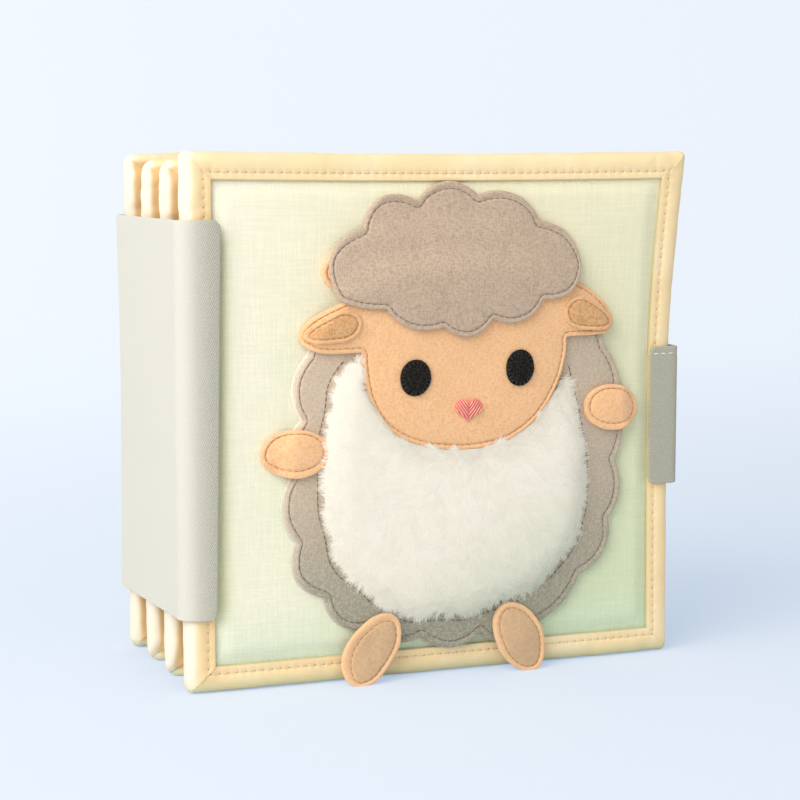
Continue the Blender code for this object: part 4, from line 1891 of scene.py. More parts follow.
def uncrossed(ring: Array, edge: Array, inset: Array) -> Array:
    """An inset ring without the loops that it makes at sharp tips.

    A point that lies nearer to the edge than its inset is in such a loop, and
    moves to the line between the sound points before and after it.

    Args:
        ring: (count, 2) points.
        edge: The outline that they were moved in from.
        inset: How far each was moved.

    Returns:
        The mended ring.
    """
    sound = nearest(ring, edge) > inset * 0.95 - 0.03 * MM
    if sound.all():
        return ring
    order = np.arange(len(ring))
    moved = [np.interp(order, order[sound], ring[sound, k], period=len(ring)) for k in (0, 1)]
    return np.stack(moved, -1)


def filled(ring: Array, spacing: float) -> tuple[Array, Array]:
    """Fills a closed outline with nearly even triangles.

    Args:
        ring: The outline's points, anticlockwise.
        spacing: Distance between the points inside it, on a staggered grid.

    Returns:
        The points inside, and triangles whose indices count the ring first.
    """
    low, high = ring.min(0), ring.max(0)
    rise = spacing * math.sqrt(0.75)
    levels = np.arange(low[1], high[1], rise)
    across = np.arange(low[0], high[0], spacing)
    x, z = np.meshgrid(across, levels)
    x = x + spacing / 2 * (np.arange(len(levels)) % 2)[:, None]
    grid = np.stack([x.ravel(), z.ravel()], -1)
    grid = grid[within_outline(ring, *grid.T)]
    grid = grid[nearest(grid, ring) > 0.6 * spacing]
    flat = np.concatenate([ring, grid])
    count = len(ring)
    edges = [(k, (k + 1) % count) for k in range(count)]
    made = delaunay_2d_cdt([Vector(p) for p in flat / MM], edges, [], 1, 1e-7)
    placed = np.array([tuple(p) for p in made[0]]) * MM
    source = np.array([ids[0] if ids else -1 for ids in made[3]])
    for lost in np.flatnonzero(source < 0):
        source[lost] = int(((flat - placed[lost]) ** 2).sum(1).argmin())
    faces = source[np.array([tuple(face) for face in made[2]])]
    twice = (faces == np.roll(faces, 1, 1)).any(1)
    faces = faces[~twice]
    a, b, c = (flat[faces[:, k]] for k in range(3))
    turn = (b[:, 0] - a[:, 0]) * (c[:, 1] - a[:, 1]) - (b[:, 1] - a[:, 1]) * (c[:, 0] - a[:, 0])
    faces[turn < 0] = faces[turn < 0][:, ::-1]
    return grid, faces


@dataclass
class Felt:
    """A felt cut-out, sewn down along its edge, with two layers at the rim."""

    name: str
    nodes: tuple[str, ...]
    slot: str
    outline: Array
    support: Callable[[Array, Array], Array]
    material: Material
    thread_material: Material
    insets: Insets = (2.2 * MM,) * 4
    thick: float = 2.3 * MM
    groove: float = 0.5 * MM
    puff: float = 0.9 * MM
    puff_reach: float = 9 * MM
    reach_in: float = 2.0 * MM
    thread: float = 0.13 * MM
    stitch_length: float = 2.5 * MM
    stitch_gap: float = 0.45 * MM
    spacing: float = 0.5 * MM
    fill_spacing: float = 1.7 * MM
    seed: int = 1
    sewn: bool = True
    wall: float = 0.9 * MM
    stitch_at: float = 2.0 * MM

    def profile(self) -> tuple[Array, Array]:
        """The rim's section: inset from the edge and height over the support.

        The side wall has a notch between the two felts. The top then dips at
        the stitches and rises to the middle as 1 - exp(-distance / puff_reach).

        Returns:
            Both, for each place along the section.
        """
        t = self.thick
        wall_in = np.array([0.9, 0.30, 0.06, 0.0, 0.05, 0.30, 0.24, 0.07, 0.10, 0.26, 0.55]) * MM
        wall_up = np.array([0.0, 0.03, 0.12, 0.28, 0.42, 0.49, 0.53, 0.62, 0.80, 0.93, 0.99]) * t
        after = np.array([-0.75, -0.45, -0.25, 0.0, 0.25, 0.45, 0.8]) * MM + self.stitch_at
        rest = np.linspace(after[-1] + 0.4 * MM, self.stitch_at + self.reach_in, 3)
        top_in = np.concatenate([[self.wall], after, rest])
        return np.concatenate([wall_in, top_in]), np.concatenate([wall_up, self.top(top_in)])

    def top(self, inset: Array) -> Array:
        """Height of the top face.

        Args:
            inset: Distances from the edge.

        Returns:
            Heights over the support.
        """
        dip = self.groove * bump_at(inset, self.stitch_at, 0.42 * MM) * self.sewn
        beyond = np.maximum(inset - self.stitch_at, 0)
        return self.thick - dip + self.puff * (1 - np.exp(-beyond / self.puff_reach))

    def stitch_insets(self, normal: Array) -> Array:
        """The stitches' distance from the edge on the side that each normal faces.

        The four insets, for the left, right, foot and top sides, are mixed by
        the squares of the normal's two parts.

        Args:
            normal: (count, 2) inward normals.

        Returns:
            A distance for each.
        """
        left, right, foot, top = self.insets
        nx, nz = -normal[:, 0], -normal[:, 1]
        across = np.where(nx < 0, left, right) * nx ** 2
        return across + np.where(nz < 0, foot, top) * nz ** 2

    def build(self, leaf: Leaf) -> None:
        """Makes the felt and its stitches.

        Args:
            leaf: The leaf that it lies on.
        """
        edge = resampled(self.outline, self.spacing)
        normal = inward(edge)
        wobble = ripple(np.arange(len(edge)) * self.spacing, self.seed, 31 * MM)
        edge = edge + normal * (0.12 * MM * wobble)[:, None]
        sewn_at = self.stitch_insets(inward(edge, 10))
        inset, height = self.profile()
        share = (inset - self.wall) / (self.stitch_at - self.wall)
        scaled = self.wall + share[:, None] * (sewn_at - self.wall)[None]
        beyond = inset[:, None] - self.stitch_at + sewn_at[None]
        local = np.where(inset[:, None] <= self.wall, inset[:, None],
                         np.where(inset[:, None] < self.stitch_at, scaled, beyond))
        rings = edge[None] + normal[None] * local[..., None]
        rings = np.stack([uncrossed(ring, edge, deep) for ring, deep in zip(rings, local)])
        rows, columns = rings.shape[:2]
        top_fill, top_faces = filled(rings[-1], self.fill_spacing)
        foot_fill, foot_faces = filled(rings[0], 3 * MM)
        inward_of = [nearest(top_fill, rings[-1]) + inset[-1], np.zeros(len(foot_fill))]
        flat = np.concatenate([rings.reshape(-1, 2), top_fill, foot_fill])
        high = np.concatenate([
            np.repeat(height, columns), self.top(inward_of[0]), inward_of[1],
        ])
        depth = np.concatenate([np.repeat(inset, columns), *inward_of])
        x, z = flat.T
        points = leaf.world(x, z, -(high + self.support(x, z)))
        along = np.tile(np.arange(columns) * self.spacing, rows)
        uv = np.stack([np.concatenate([along, np.zeros(len(flat) - len(along))]), depth], -1)
        count = rows * columns
        top_ids = np.concatenate([
            np.arange(columns) + count - columns, np.arange(len(top_fill)) + count,
        ])
        foot_ids = np.concatenate([
            np.arange(columns), np.arange(len(foot_fill)) + count + len(top_fill),
        ])
        caps = np.concatenate([top_ids[top_faces], foot_ids[foot_faces][:, ::-1]])
        rim = grid_faces(rows, columns, close_columns=True)
        made = make_piece(self.name, points, [rim, caps], self.material, uv)
        settle(made, leaf.name, self.nodes)
        if self.sewn:
            self.sew_down(leaf, edge + normal * sewn_at[:, None])

    def sew_down(self, leaf: Leaf, line: Array) -> None:
        """Machine stitches in the groove along the piece's edge.

        Args:
            leaf: The leaf that the felt lies on.
            line: (count, 2) points of the groove.
        """
        height = float(self.top(np.array(self.stitch_at))) + 0.02 * MM
        level = self.support(*line.T) + height
        starts, ends = dashes(leaf.world(*line.T, -level), self.stitch_length, self.stitch_gap)
        sew(self.name + "_stitches", leaf.name, starts, ends, OUT_OF_COVER, self.thread,
            self.thread_material, bow=0.10 * MM)


@dataclass
class Lamb:
    """The felt lamb on the front cover. Places are from the leaf's foot corner."""

    leaf: Leaf
    finishes: Finishes
    cover_level: float = 6.35 * MM
    body_rise: float = 3.0 * MM
    body_edge: Scallops = Scallops(
        ((47.1, 124.6), (44.5, 100.6), (40.5, 79.5), (42.4, 54.9), (53.4, 33.3), (72.6, 20.9),
         (91.6, 15.7), (116.1, 15.4), (134.4, 15.8), (157.9, 35.3), (170.2, 56.7), (172.8, 79.9),
         (173.9, 100.6), (168.0, 124.3), (154.2, 143.0), (124.6, 153.3), (91.7, 153.9),
         (63.6, 145.1)),
        (4.6, 3.0, 4.7, 6.5, 6.0, 4.3, 5.4, 5.0, 4.2, 5.3, 4.0, 3.0, 3.4, 3.0, 2.0, 2.0, 2.0, 3.0),
    )
    head: Head = Head(
        Blob((0.1084, 0.1275), (0.0418, 0.0403), (2.6, 2.35), lean=0.35),
        (Ear((0.0428, 0.1305), (0.0700, 0.1370), 10.0 * MM),
         Ear((0.1709, 0.1329), (0.1485, 0.1425), 9.6 * MM),
         Ear((0.0518, 0.1552), (0.0750, 0.1560), 10.5 * MM)),
    )
    hair_edge: Scallops = Scallops(
        ((58.2, 144.6), (75.1, 141.5), (97.5, 134.4), (117.6, 137.0), (138.4, 143.9),
         (156.5, 156.1), (138.6, 173.6), (113.7, 183.3), (89.7, 181.4), (67.9, 171.5)),
        (1.2, 4.2, 5.3, 5.1, 4.8, 5.0, 6.0, 6.4, 7.2, 9.0),
    )
    fur_edge_mm: tuple[Pair, ...] = (
        (66.3, 125.2), (61.4, 123.7), (53.7, 113.9), (53.2, 103.9), (50.8, 96.8), (49.8, 83.7),
        (50.1, 64.7), (53.1, 56.2), (53.8, 47.9), (58.6, 40.9), (63.4, 38.7), (72.6, 29.2),
        (86.9, 21.7), (97.9, 23.1), (108.8, 21.2), (120.0, 24.7), (131.1, 27.1), (142.4, 33.4),
        (151.5, 42.4), (157.1, 50.4), (157.5, 56.0), (159.7, 61.0), (160.1, 74.0), (159.0, 86.0),
        (157.1, 94.6), (155.6, 101.5), (152.8, 110.1), (150.8, 120.3),
    )
    fur_centre: Pair = (0.1064, 0.0762)
    eyes: tuple[Blob, Blob] = (
        Blob((0.0868, 0.1155), (0.0061, 0.0069), turn=math.radians(-10)),
        Blob((0.1297, 0.1178), (0.0059, 0.0070), turn=math.radians(-4)),
    )
    inner_ears: tuple[Ear, Ear] = (
        Ear((0.0438, 0.1315), (0.0656, 0.1376), 6.3 * MM, 1.9),
        Ear((0.1698, 0.1336), (0.1486, 0.1405), 7.0 * MM, 1.9),
    )
    paws: tuple[Blob, Blob] = (
        Blob((0.0406, 0.0889), (0.0128, 0.0091), turn=math.radians(1), egg=0.04),
        Blob((0.1706, 0.1010), (0.0122, 0.0091), turn=math.radians(-6), egg=0.04),
    )
    paw_insets: tuple[Insets, ...] = (
        (1.6 * MM, 2.3 * MM, 2.9 * MM, 1.3 * MM), (2.2 * MM, 1.8 * MM, 2.7 * MM, 1.6 * MM),
    )
    feet: tuple[Blob, Blob] = (
        Blob((0.0705, 0.0136), (0.0092, 0.0155), turn=math.radians(-37), egg=0.06),
        Blob((0.1306, 0.0136), (0.0098, 0.0145), turn=math.radians(27), egg=0.04),
    )
    foot_insets: tuple[Insets, ...] = (
        (3.3 * MM, 2.2 * MM, 1.6 * MM, 2.9 * MM), (2.5 * MM, 2.1 * MM, 1.7 * MM, 2.2 * MM),
    )
    nose_centre: Pair = (0.1084, 0.1028)
    nose_half: Pair = (0.0057, 0.0047)
    nose_rows: int = 7
    nose_pitch: float = 0.95 * MM
    nose_start: float = 1.15 * MM
    foot_lean: float = 6.0 * MM
    foot_lean_from: float = 26 * MM
    head_thick: float = 2.35 * MM
    head_puff: float = 1.6 * MM
    ring_inset: float = 0.9 * MM

    def __post_init__(self) -> None:
        """Measures how deep each place lies in the body, the head and the fur."""
        fur = resampled(np.array(self.fur_edge_mm) * MM, 0.8 * MM, soften=40)
        self.body_depth = DepthMap(self.body_edge.outline())
        self.head_depth = DepthMap(self.head.outline())
        self.fur_depth = DepthMap(fur)

    def on_cover(self, x: Array, z: Array) -> Array:
        """The linen's face."""
        return np.full_like(x, self.cover_level)

    def above_cover(self, x: Array, z: Array) -> Array:
        """The linen's face, with the little room that the backing needs."""
        return self.on_cover(x, z) + 0.35 * MM

    def over_body(self, x: Array, z: Array, low: float, high: float) -> Array:
        """The linen's face and the body's, joined by a slope between two depths."""
        return self.on_cover(x, z) + self.body_rise * ease(self.body_depth.at(x, z), low, high)

    def on_body(self, x: Array, z: Array) -> Array:
        """The linen's face, or the body's where it lies over the body."""
        return self.over_body(x, z, -7.0 * MM, 0.8 * MM)

    def under_foot(self, x: Array, z: Array) -> Array:
        """As on_body, where the feet lean forward over the tape."""
        lean = np.clip((self.foot_lean_from - z) / self.foot_lean_from, 0, 1.05)
        return self.over_body(x, z, -12.0 * MM, 2.0 * MM) + self.foot_lean * lean ** 1.7

    def head_rise(self, depth: Array) -> Array:
        """The head's thickness at a depth, as its puffed top gives it."""
        swell = 1 - np.exp(-np.maximum(depth - 2 * MM, 0) / (12 * MM))
        return self.head_thick + self.head_puff * swell

    def on_head(self, x: Array, z: Array) -> Array:
        """Over the head, where there is one under the place."""
        depth = self.head_depth.at(x, z)
        return self.on_body(x, z) + self.head_rise(depth) * ease(depth, -4.0 * MM, 0.8 * MM)

    def under_hair(self, x: Array, z: Array) -> Array:
        """Over the felts under the hair, which bridges their edges.

        Args:
            x: Distances from the spine edge.
            z: Distances from the foot.

        Returns:
            Levels.
        """
        depth = self.head_depth.at(x, z)
        head = self.head_rise(depth) * ease(depth, -11 * MM, 1 * MM)
        return self.over_body(x, z, -12 * MM, 1 * MM) + head

    def on_ear(self, x: Array, z: Array) -> Array:
        """Over an ear."""
        return self.on_body(x, z) + 2.6 * MM

    def build_felts(self) -> None:
        """The felt layers, from the cover outwards."""
        leaf, use = self.leaf, self.finishes
        taupe = dict(slot="taupe_felt", material=use.taupe, thread_material=use.brown_thread)
        peach = dict(slot="peach_felt", material=use.peach, thread_material=use.peach_thread)
        limb = dict(puff_reach=4 * MM, spacing=0.4 * MM)
        body_edge = self.body_edge.outline()
        backing = body_edge + np.array([-1.3 * MM, 0.0])
        Felt("lamb_backing", (), "taupe_felt", backing, self.on_cover, use.backing,
             use.brown_thread, thick=0.8 * MM, sewn=False, puff=0.0).build(leaf)
        body = Felt("lamb_body_felt", ("lamb_body",), outline=body_edge, support=self.above_cover,
                    insets=(1.3 * MM, 2.6 * MM, 2.7 * MM, 1.9 * MM), puff=0.5 * MM, seed=2,
                    **(taupe | {"material": use.body}))
        body.build(leaf)
        self.sew_ring(body)
        Felt("lamb_head_felt", ("lamb_head", "lamb_ear_left", "lamb_ear_right"),
             outline=self.head.outline(), support=self.on_body,
             insets=(1.8 * MM, 1.6 * MM, 1.9 * MM, 1.5 * MM), puff=self.head_puff,
             puff_reach=12 * MM, seed=3, **peach).build(leaf)
        Felt("lamb_hair_felt", ("lamb_hair",), outline=self.hair_edge.outline(),
             support=self.under_hair, insets=(1.3 * MM, 1.4 * MM, 2.1 * MM, 2.9 * MM),
             puff=1.4 * MM, seed=4, **taupe).build(leaf)
        for side, ear in zip(("left", "right"), self.inner_ears):
            Felt("lamb_inner_ear_felt_" + side, ("lamb_inner_ear_" + side,), "inner_ear_felt",
                 ear.outline(), self.on_ear, use.inner_ear, use.peach_thread,
                 insets=(1.7 * MM,) * 4, thick=1.3 * MM, reach_in=1.3 * MM, puff=0.3 * MM,
                 puff_reach=3 * MM, spacing=0.35 * MM, thread=0.17 * MM, seed=5).build(leaf)
        for order, side in enumerate(("left", "right")):
            Felt("lamb_paw_felt_" + side, ("lamb_paw_" + side,), support=self.on_body,
                 outline=self.paws[order].outline(), insets=self.paw_insets[order],
                 puff=1.0 * MM, seed=6, **limb, **peach).build(leaf)
            Felt("lamb_foot_felt_" + side, ("lamb_foot_" + side,), support=self.under_foot,
                 outline=self.feet[order].outline(), insets=self.foot_insets[order],
                 puff=0.8 * MM, seed=7, **limb, **(peach | {"material": use.foot})).build(leaf)

    def sew_ring(self, body: Felt) -> None:
        """Brown stitches on the body round the fur, from one side of the face to the other.

        Args:
            body: The felt that they are sewn into.
        """
        edge = resampled(np.array(self.fur_edge_mm) * MM, 0.8 * MM, soften=25)
        line = edge - inward(edge, 6) * self.ring_inset
        shown = self.head_depth.at(*line.T) < -2.5 * MM
        first = int(np.argmax(~shown))
        line = np.roll(line, -first, 0)[np.roll(shown, -first)]
        level = self.above_cover(*line.T) + body.thick + body.puff + 0.02 * MM
        points = self.leaf.world(*line.T, -level)
        starts, ends = dashes(points, body.stitch_length, body.stitch_gap, closed=False)
        sew("lamb_ring_stitches", self.leaf.name, starts, ends, OUT_OF_COVER, 0.17 * MM,
            self.finishes.brown_thread, bow=0.05 * MM)

    def build_eyes(self) -> None:
        """Black felt ovals, overcast with black thread."""
        for side, eye in zip(("left", "right"), self.eyes):
            Felt("lamb_eye_felt_" + side, ("lamb_eye_" + side,), "black_felt", eye.outline(),
                 self.on_head, self.finishes.black, self.finishes.black_thread,
                 insets=(1.5 * MM,) * 4, thick=1.2 * MM, reach_in=1.3 * MM, puff=0.35 * MM,
                 puff_reach=2.5 * MM, spacing=0.3 * MM, sewn=False, seed=8).build(self.leaf)
            angle = angles(22) + 0.1
            rows = []
            for share, high in ((1.05, 0.35 * MM), (0.74, 1.45 * MM)):
                x, z = on_rays(eye.centre, eye.reach(angle) * share, angle)
                rows.append(self.leaf.world(x, z, -(self.on_head(x, z) + high)))
            sew("lamb_eye_stitches_" + side, self.leaf.name, *rows, OUT_OF_COVER, 0.17 * MM,
                self.finishes.black_thread, bow=0.45 * MM)

    def heart(self) -> Array:
        """A heart, point down: x = sin(t) ** 3, z = a sum of four cosines.

        Returns:
            (count, 2) points.
        """
        t = angles(600)
        x = np.sin(t) ** 3
        z = (12.4 * np.cos(t) - 3.8 * np.cos(2 * t) - 2 * np.cos(3 * t) - np.cos(4 * t)) / 13.6
        return np.array(self.nose_centre) + np.array(self.nose_half) * np.stack([-x, z], -1)

    def build_nose(self) -> None:
        """Pink satin stitches along both sides of a heart, over a thin pad whose darker pink is
        painted shade between the stitches.
        """
        outline = self.heart()
        # The pad's darker pink is painted shade between the stitches.
        Felt("lamb_nose_pad", ("lamb_nose",), "nose_thread", outline, self.on_head,
             self.finishes.nose_pad_gap_shade, self.finishes.nose_thread, insets=(1.2 * MM,) * 4,
             thick=0.5 * MM, reach_in=0.9 * MM, puff=0.25 * MM, puff_reach=2 * MM,
             spacing=0.25 * MM, fill_spacing=0.8 * MM, sewn=False, seed=9).build(self.leaf)
        draw = np.random.default_rng(31)
        rows = ([], [])
        foot = np.array([self.nose_centre[0], self.nose_centre[1] - self.nose_half[1] * 1.12])
        reach = np.linspace(0.0, 0.016, 400)
        for side in (-1, 1):
            lean = math.atan2(self.nose_half[1] * 1.6, side * self.nose_half[0] * 0.92)
            run = np.array([math.cos(lean), math.sin(lean)])
            out = np.array([run[1] * side, -run[0] * side])
            for order in range(self.nose_rows):
                line = foot - out * (self.nose_pitch * order - self.nose_start)
                x, z = (line + run * reach[:, None]).T
                kept = within_outline(outline, x, z) & (side * (x - foot[0]) > -0.3 * MM)
                if kept.sum() < 30:
                    continue
                ends = reach[kept][[0, -1]] + draw.uniform(-0.3, 0.3, 2) * MM
                for where, row in zip(ends, rows):
                    row.append(line + run * where)
        points = []
        for row in rows:
            x, z = np.array(row).T
            points.append(self.leaf.world(x, z, -(self.on_head(x, z) + 0.60 * MM)))
        sew("lamb_nose_stitches", self.leaf.name, *points, OUT_OF_COVER, 0.40 * MM,
            self.finishes.nose_thread, bow=0.5 * MM)

    def build(self) -> None:
        """The felts, the face and the fur."""
        self.build_felts()
        self.build_eyes()
        self.build_nose()
        Fur(self).build()


@dataclass
class Fur:
    """Long white pile on the lamb's belly: a domed base and many strands."""

    lamb: Lamb
    pile: float = 3.4 * MM
    base: float = 4.4 * MM
    base_middle: float = 55 * MM
    lean_middle: float = 86 * MM
    low: Pair = (0.050, 0.024)
    high: Pair = (0.164, 0.130)
    clumps: int = 1500
    strands: int = 26
    spread: float = 0.85 * MM
    length: float = 7.5 * MM
    width: float = 0.13 * MM
    margin: float = 1.9 * MM
    rim: float = 9 * MM
    seed: int = 77

    def edge_depth(self, x: Array, z: Array) -> Array:
        """How far a place is inside the fur patch, which stops at the face."""
        below_face = -self.lamb.head_depth.at(x, z)
        return np.minimum(self.lamb.fur_depth.at(x, z) - self.margin, below_face + 0.5 * MM)

    def height_at(self, x: Array, z: Array) -> Array:
        """The base's height over the body: a rounded rim and lumpy waves.

        Args:
            x: Distances from the spine edge.
            z: Distances from the foot.

        Returns:
            The heights.
        """
        depth = np.clip(self.edge_depth(x, z) / (7.5 * MM), 0, 1)
        lumps = ripple(x + 0.3 * z, 41, 26 * MM) * ripple(z - 0.4 * x, 43, 23 * MM)
        return self.base * np.sqrt(1 - (1 - depth) ** 2) * (1 + 0.10 * lumps)

    def make_base(self) -> None:
        """A closed dome over the patch, from rings scaled to its middle."""
        lamb = self.lamb
        angle = angles(360)
        centre = (lamb.fur_centre[0], self.base_middle)
        steps = np.linspace(0.005, 0.085, 500)[:, None]
        inside = self.edge_depth(*on_rays(centre, steps, angle)) > 0
        reached = np.where(np.cumprod(inside, 0) > 0, steps, 0).max(0)
        shares = np.concatenate([np.linspace(0.03, 0.88, 40), np.linspace(0.9, 1.0, 14)])
        x, z = on_rays(centre, reached[None] * shares[:, None], angle)
        floor = lamb.on_body(x, z) + 0.1 * MM
        top = floor + np.maximum(self.height_at(x, z), 0.05 * MM)
        grids = [lamb.leaf.world(x, z, -level) for level in (top, floor)]
        poles = [lamb.leaf.world(*np.array(centre), -level[0].mean()) for level in (top, floor)]
        points, faces = capped(np.concatenate([grids[0], grids[1][::-1]]), poles)
        uv = np.full((len(points), 2), 0.35)
        made = make_piece("lamb_fur_base", points, faces, lamb.finishes.fur, uv)
        normals = self.soft_normals(points, np.zeros((len(points), 1, 2)))
        normals[len(points) // 2 - 1:-2] = normals[-1] = (0.0, 1.0, 0.0)
        made.data.normals_split_custom_set_from_vertices(normals)
        settle(made, lamb.leaf.name, ["lamb_belly_fur"])

    def roots(self, draw: np.random.Generator) -> Array:
        """Places of the clumps, spread evenly over the patch."""
        tries = draw.uniform(self.low, self.high, (self.clumps * 6, 2))
        return tries[self.edge_depth(*tries.T) > 0.3 * MM][:self.clumps]

    def make_strands(self, name: str, seed: int) -> None:
        """One piece of strands: ribbons of two quads and a pointed end.

        A clump's strands start round its root and draw together. Each leans
        outwards from the patch's middle and down, with a random turn, and its
        height rises as a sine before its tip falls back.

        Args:
            name: The piece's name.
            seed: Fixes its random draws.
        """
        lamb = self.lamb
        draw = np.random.default_rng(seed)
        roots = self.roots(draw)
        count = len(roots)
        outward = roots - np.array([lamb.fur_centre[0], self.lean_middle])
        angle = np.arctan2(outward[:, 1], outward[:, 0])
        swirl = 1.1 * ripple(roots[:, 0] * 1.3 + roots[:, 1], 51, 38 * MM)
        rim = 1 - ease(self.edge_depth(*roots.T), 0, self.rim)
        turn = angle + swirl * (1 - 0.6 * rim) + draw.normal(0, 0.55, count) * (1 - 0.3 * rim)
        long = self.length * draw.uniform(0.62, 1.25, count) * (1 - 0.45 * rim)
        pick = np.repeat(np.arange(count), self.strands)
        scatter = draw.normal(0, self.spread, (len(pick), 2))
        start = roots[pick] + scatter
        keep = self.edge_depth(*start.T) > 0
        start, pick, scatter = start[keep], pick[keep], scatter[keep]
        total = len(start)
        strand_turn = turn[pick] + draw.normal(0, 0.22, total)
        reach = long[pick] * draw.uniform(0.72, 1.12, total)
        share = np.array([0.0, 0.36, 0.70, 1.0])
        run = np.stack([np.cos(strand_turn), np.sin(strand_turn)], -1)
        bend = draw.normal(0, 0.16, total)
        side = np.stack([-run[:, 1], run[:, 0]], -1)
        gather = (share ** 1.3 * 0.62)[None, :, None] * scatter[:, None]
        flat = (start[:, None] + run[:, None] * (share[None] * reach[:, None])[..., None]
                + side[:, None] * ((share ** 2)[None] * (bend * reach)[:, None])[..., None] - gather)
        flat_share = 0.25 + 0.75 * (1 - ease(self.edge_depth(*start.T), 2 * MM, self.rim))
        lift = self.pile * draw.uniform(0.12, 0.70, total) * flat_share
        up = lift[:, None] * np.sin(np.pi * np.minimum(share * 0.78 + 0.04, 1))[None]
        x, z = np.moveaxis(flat, -1, 0)
        step = np.maximum(self.height_at(x, z), 0.6 * MM) + up
        face = ease(lamb.head_depth.at(x, z), -3.5 * MM, 1 * MM) * 3.0 * MM
        middle = lamb.leaf.world(x, z, -(lamb.on_body(x, z) + np.maximum(step, face)))
        wide = self.width * np.array([1.0, 0.95, 0.7, 0.0])[None] * draw.uniform(0.7, 1.2, (total, 1))
        tilt = draw.uniform(-0.7, 0.7, total)
        across = np.stack([side[:, 0], np.sin(tilt), side[:, 1]], -1)
        across = across / np.linalg.norm(across, axis=1, keepdims=True)
        half = across[:, None] * wide[:, :3, None] / 2
        points = np.concatenate([middle[:, :3] + half, middle[:, :3] - half, middle[:, 3:]], 1)
        base = (np.arange(total) * 7)[:, None]
        quads = np.concatenate([base + np.array([k + 3, k + 4, k + 1, k]) for k in (0, 1)])
        ends = base + np.array([5, 6, 2])
        heights = np.concatenate([share[:3], share])
        uv = np.stack([np.repeat(draw.random(total), 7), np.tile(heights, total)], -1)
        made = make_piece(name, points, [quads, ends], lamb.finishes.fur, uv, closed=False)
        own = draw.normal(0, 0.08, (total, 1, 2))
        made.data.normals_split_custom_set_from_vertices(self.soft_normals(points, own))
        made.visible_shadow = False
        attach(made, lamb.leaf.name)

    def soft_normals(self, points: Array, own: Array) -> Array:
        """Normals of the patch as a whole, so that its strands shade as one pile.

        They lean outwards near the rim, and turn a little for each strand.

        Args:
            points: World points, as many for each strand.
            own: (strands, 1, 2) turns of each strand's normals.

        Returns:
            A unit normal for each point.
        """
        strands = points.reshape(len(own), -1, 3)
        x = strands[..., 0] - self.lamb.leaf.left
        z = strands[..., 2] - self.lamb.leaf.foot
        out_x, out_z = x - self.lamb.fur_centre[0], z - self.lamb.fur_centre[1]
        far = np.maximum(np.hypot(out_x, out_z), 1e-6)
        lean = 0.40 * (1 - ease(self.lamb.fur_depth.at(x, z), -4 * MM, 14 * MM))
        normal = np.stack([
            out_x / far * lean + own[..., 0], -np.ones_like(x), out_z / far * lean + own[..., 1],
        ], -1)
        normal = normal / np.linalg.norm(normal, axis=-1, keepdims=True)
        return normal.reshape(-1, 3).astype(np.float32)

    def build(self) -> None:
        """The base and two pieces of strands."""
        self.make_base()
        self.make_strands("lamb_fur_strands_under", self.seed)
        self.make_strands("lamb_fur_strands_over", self.seed + 1)


# Camera, floor and light


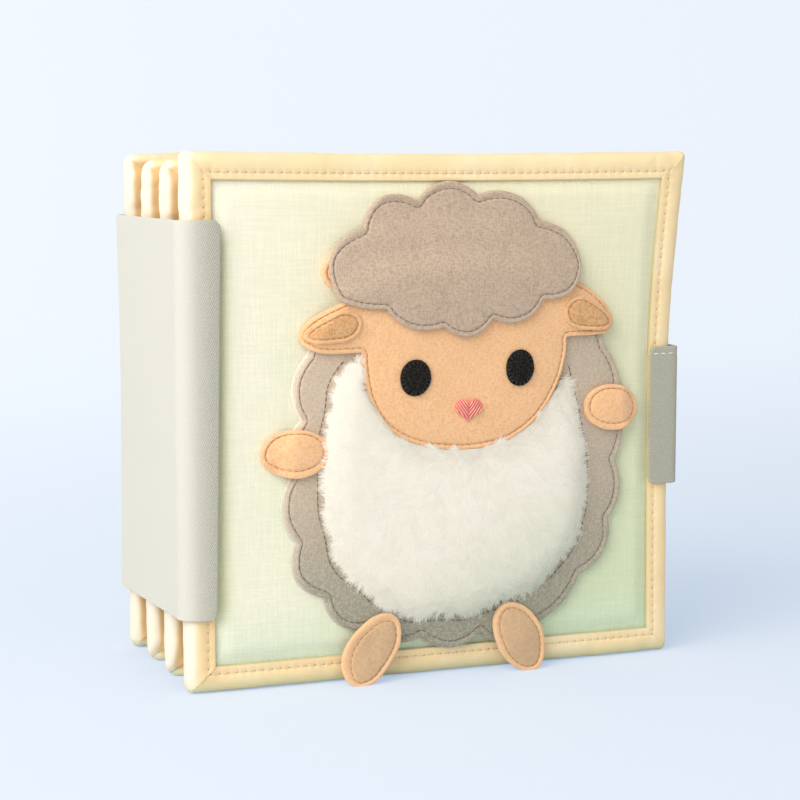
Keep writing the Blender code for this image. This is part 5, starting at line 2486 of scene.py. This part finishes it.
@dataclass
class Studio:
    """The photograph's view of the book, on a pale floor under soft light."""

    distance: float = 0.800
    yaw: float = math.radians(21.457)
    pitch: float = math.radians(6.504)
    focal_share: float = 2.6304
    aim_x: float = 0.08572
    aim_z: float = 0.10587
    floor_colour: Colour = (0.72, 0.78, 0.85)
    seen_colour: Colour = (0.45, 0.42, 0.37)
    floor_glow: Colour = (0.307, 0.428, 0.60)
    back_glow: Colour = (0.53, 0.62, 0.755)
    world_strength: float = 0.64
    sky_colour: Colour = (1.0, 0.97, 0.93)
    key_power: float = 32.0
    key_size: float = 1.8
    key_colour: Colour = (1.0, 0.955, 0.89)
    key_place: tuple[float, ...] = (-1.35, -0.80, 1.15)
    key_aim: tuple[float, ...] = (0.0, 0.0, 0.08)

    def make_camera(self, front: Leaf) -> None:
        """A camera that looks down at the front cover from its fore-edge side.

        Args:
            front: The front cover.
        """
        view = np.array([
            math.sin(self.yaw) * math.cos(self.pitch),
            math.cos(self.yaw) * math.cos(self.pitch),
            -math.sin(self.pitch),
        ])
        aim = np.array([front.left + self.aim_x, front.plane, self.aim_z])
        data = bpy.data.cameras.new("camera")
        data.sensor_width = 36.0
        data.lens = data.sensor_width * self.focal_share
        data.clip_start, data.clip_end = 0.05, 30.0
        camera = bpy.data.objects.new("camera", data)
        camera.location = aim - view * self.distance
        camera.rotation_euler = (math.pi / 2 - self.pitch, 0.0, -self.yaw)
        bpy.context.scene.collection.objects.link(camera)
        bpy.context.scene.camera = camera

    def make_floor(self) -> None:
        """A floor that curves up into a backdrop behind the book."""
        sides = np.linspace(-4, 4, 9)
        turn = np.linspace(0, np.pi / 2, 16)
        y = np.concatenate([[-3.0, -1.0, 0.0, 0.5], 1.2 + 0.8 * np.sin(turn), [2.0]])
        z = np.concatenate([[0, 0, 0, 0], 0.8 - 0.8 * np.cos(turn), [3.5]])
        x, y, z = (row[..., None] + 0 * sides for row in (0 * y, y, z))
        grid = np.stack([x + sides, y, z], -1)
        paint = Paint("floor", 0.9, specular=0.1)
        place = paint.place()
        grain = paint.noise(place, 1.5, 1.0)
        right, back, _ = paint.axes(place)
        ray = paint.node("ShaderNodeLightPath")
        seen = ray["Is Camera Ray"] + ray["Is Glossy Ray"] + ray["Is Transmission Ray"]
        seen = seen.smallest(1.0)
        plain = paint.blend(seen, self.floor_colour, self.seen_colour)
        glow = paint.blend(back.eased(-0.1, 1.3), self.floor_glow, self.back_glow)
        glow = paint.shaded(glow, seen * (1.0 - right.eased(-0.3, 0.5) * 0.06))
        paint.put(paint.shader.inputs["Emission Color"], glow)
        paint.shader.inputs["Emission Strength"].default_value = 1.0
        material = paint.finish(paint.shaded(plain, grain * 0.02 + 0.99))
        made = make_piece("floor", grid, [grid_faces(len(y), len(sides))], material, closed=False)

    def make_light(self) -> None:
        """A large soft lamp from the upper left and a pale sky."""
        data = bpy.data.lights.new("key", "AREA")
        data.shape = "DISK"
        data.size = self.key_size
        data.energy = self.key_power
        data.color = self.key_colour
        lamp = bpy.data.objects.new("key", data)
        lamp.location = self.key_place
        aim = np.subtract(self.key_aim, self.key_place)
        yaw, size = math.atan2(aim[0], -aim[1]), float(np.linalg.norm(aim))
        lamp.rotation_euler = (math.acos(-aim[2] / size), 0.0, yaw + math.pi)
        bpy.context.scene.collection.objects.link(lamp)
        world = bpy.data.worlds.new("sky")
        world.use_nodes = True
        sky = world.node_tree.nodes["Background"]
        sky.inputs["Color"].default_value = (*self.sky_colour, 1.0)
        sky.inputs["Strength"].default_value = self.world_strength
        bpy.context.scene.world = world

    def build(self, front: Leaf) -> None:
        """The camera, the floor and the light.

        Args:
            front: The front cover.
        """
        self.make_camera(front)
        self.make_floor()
        self.make_light()
        bpy.context.scene.view_settings.view_transform = "Standard"


def main() -> None:
    """Builds the book and its studio."""
    finishes = Finishes()
    inner = dict(creasing=0.9, corner=4.8 * MM, corner_taper=0.74, taper_reach=6 * MM)
    leaves = (
        Leaf("front_cover", finishes, 11, sway=Flare(), creasing=0.6, shaded=False),
        Leaf("page_2", finishes, 12, slump=3.3 * MM, **inner),
        Leaf("page_3", finishes, 13, slump=3.5 * MM, **inner),
        Leaf("back_cover", finishes, 14, creasing=0.9, corner=3.6 * MM, slump=0.8 * MM),
    )
    for leaf in leaves:
        leaf.build()
    SpineBand(finishes).build()
    ClosureStrap(finishes).build()
    SeamTape("seam_tape_2", "page_2", finishes).build()
    SeamTape("seam_tape_3", "page_3", finishes).build()
    Lamb(leaves[0], finishes).build()
    Studio().build(leaves[0])


if __name__ == "__main__":
    main()
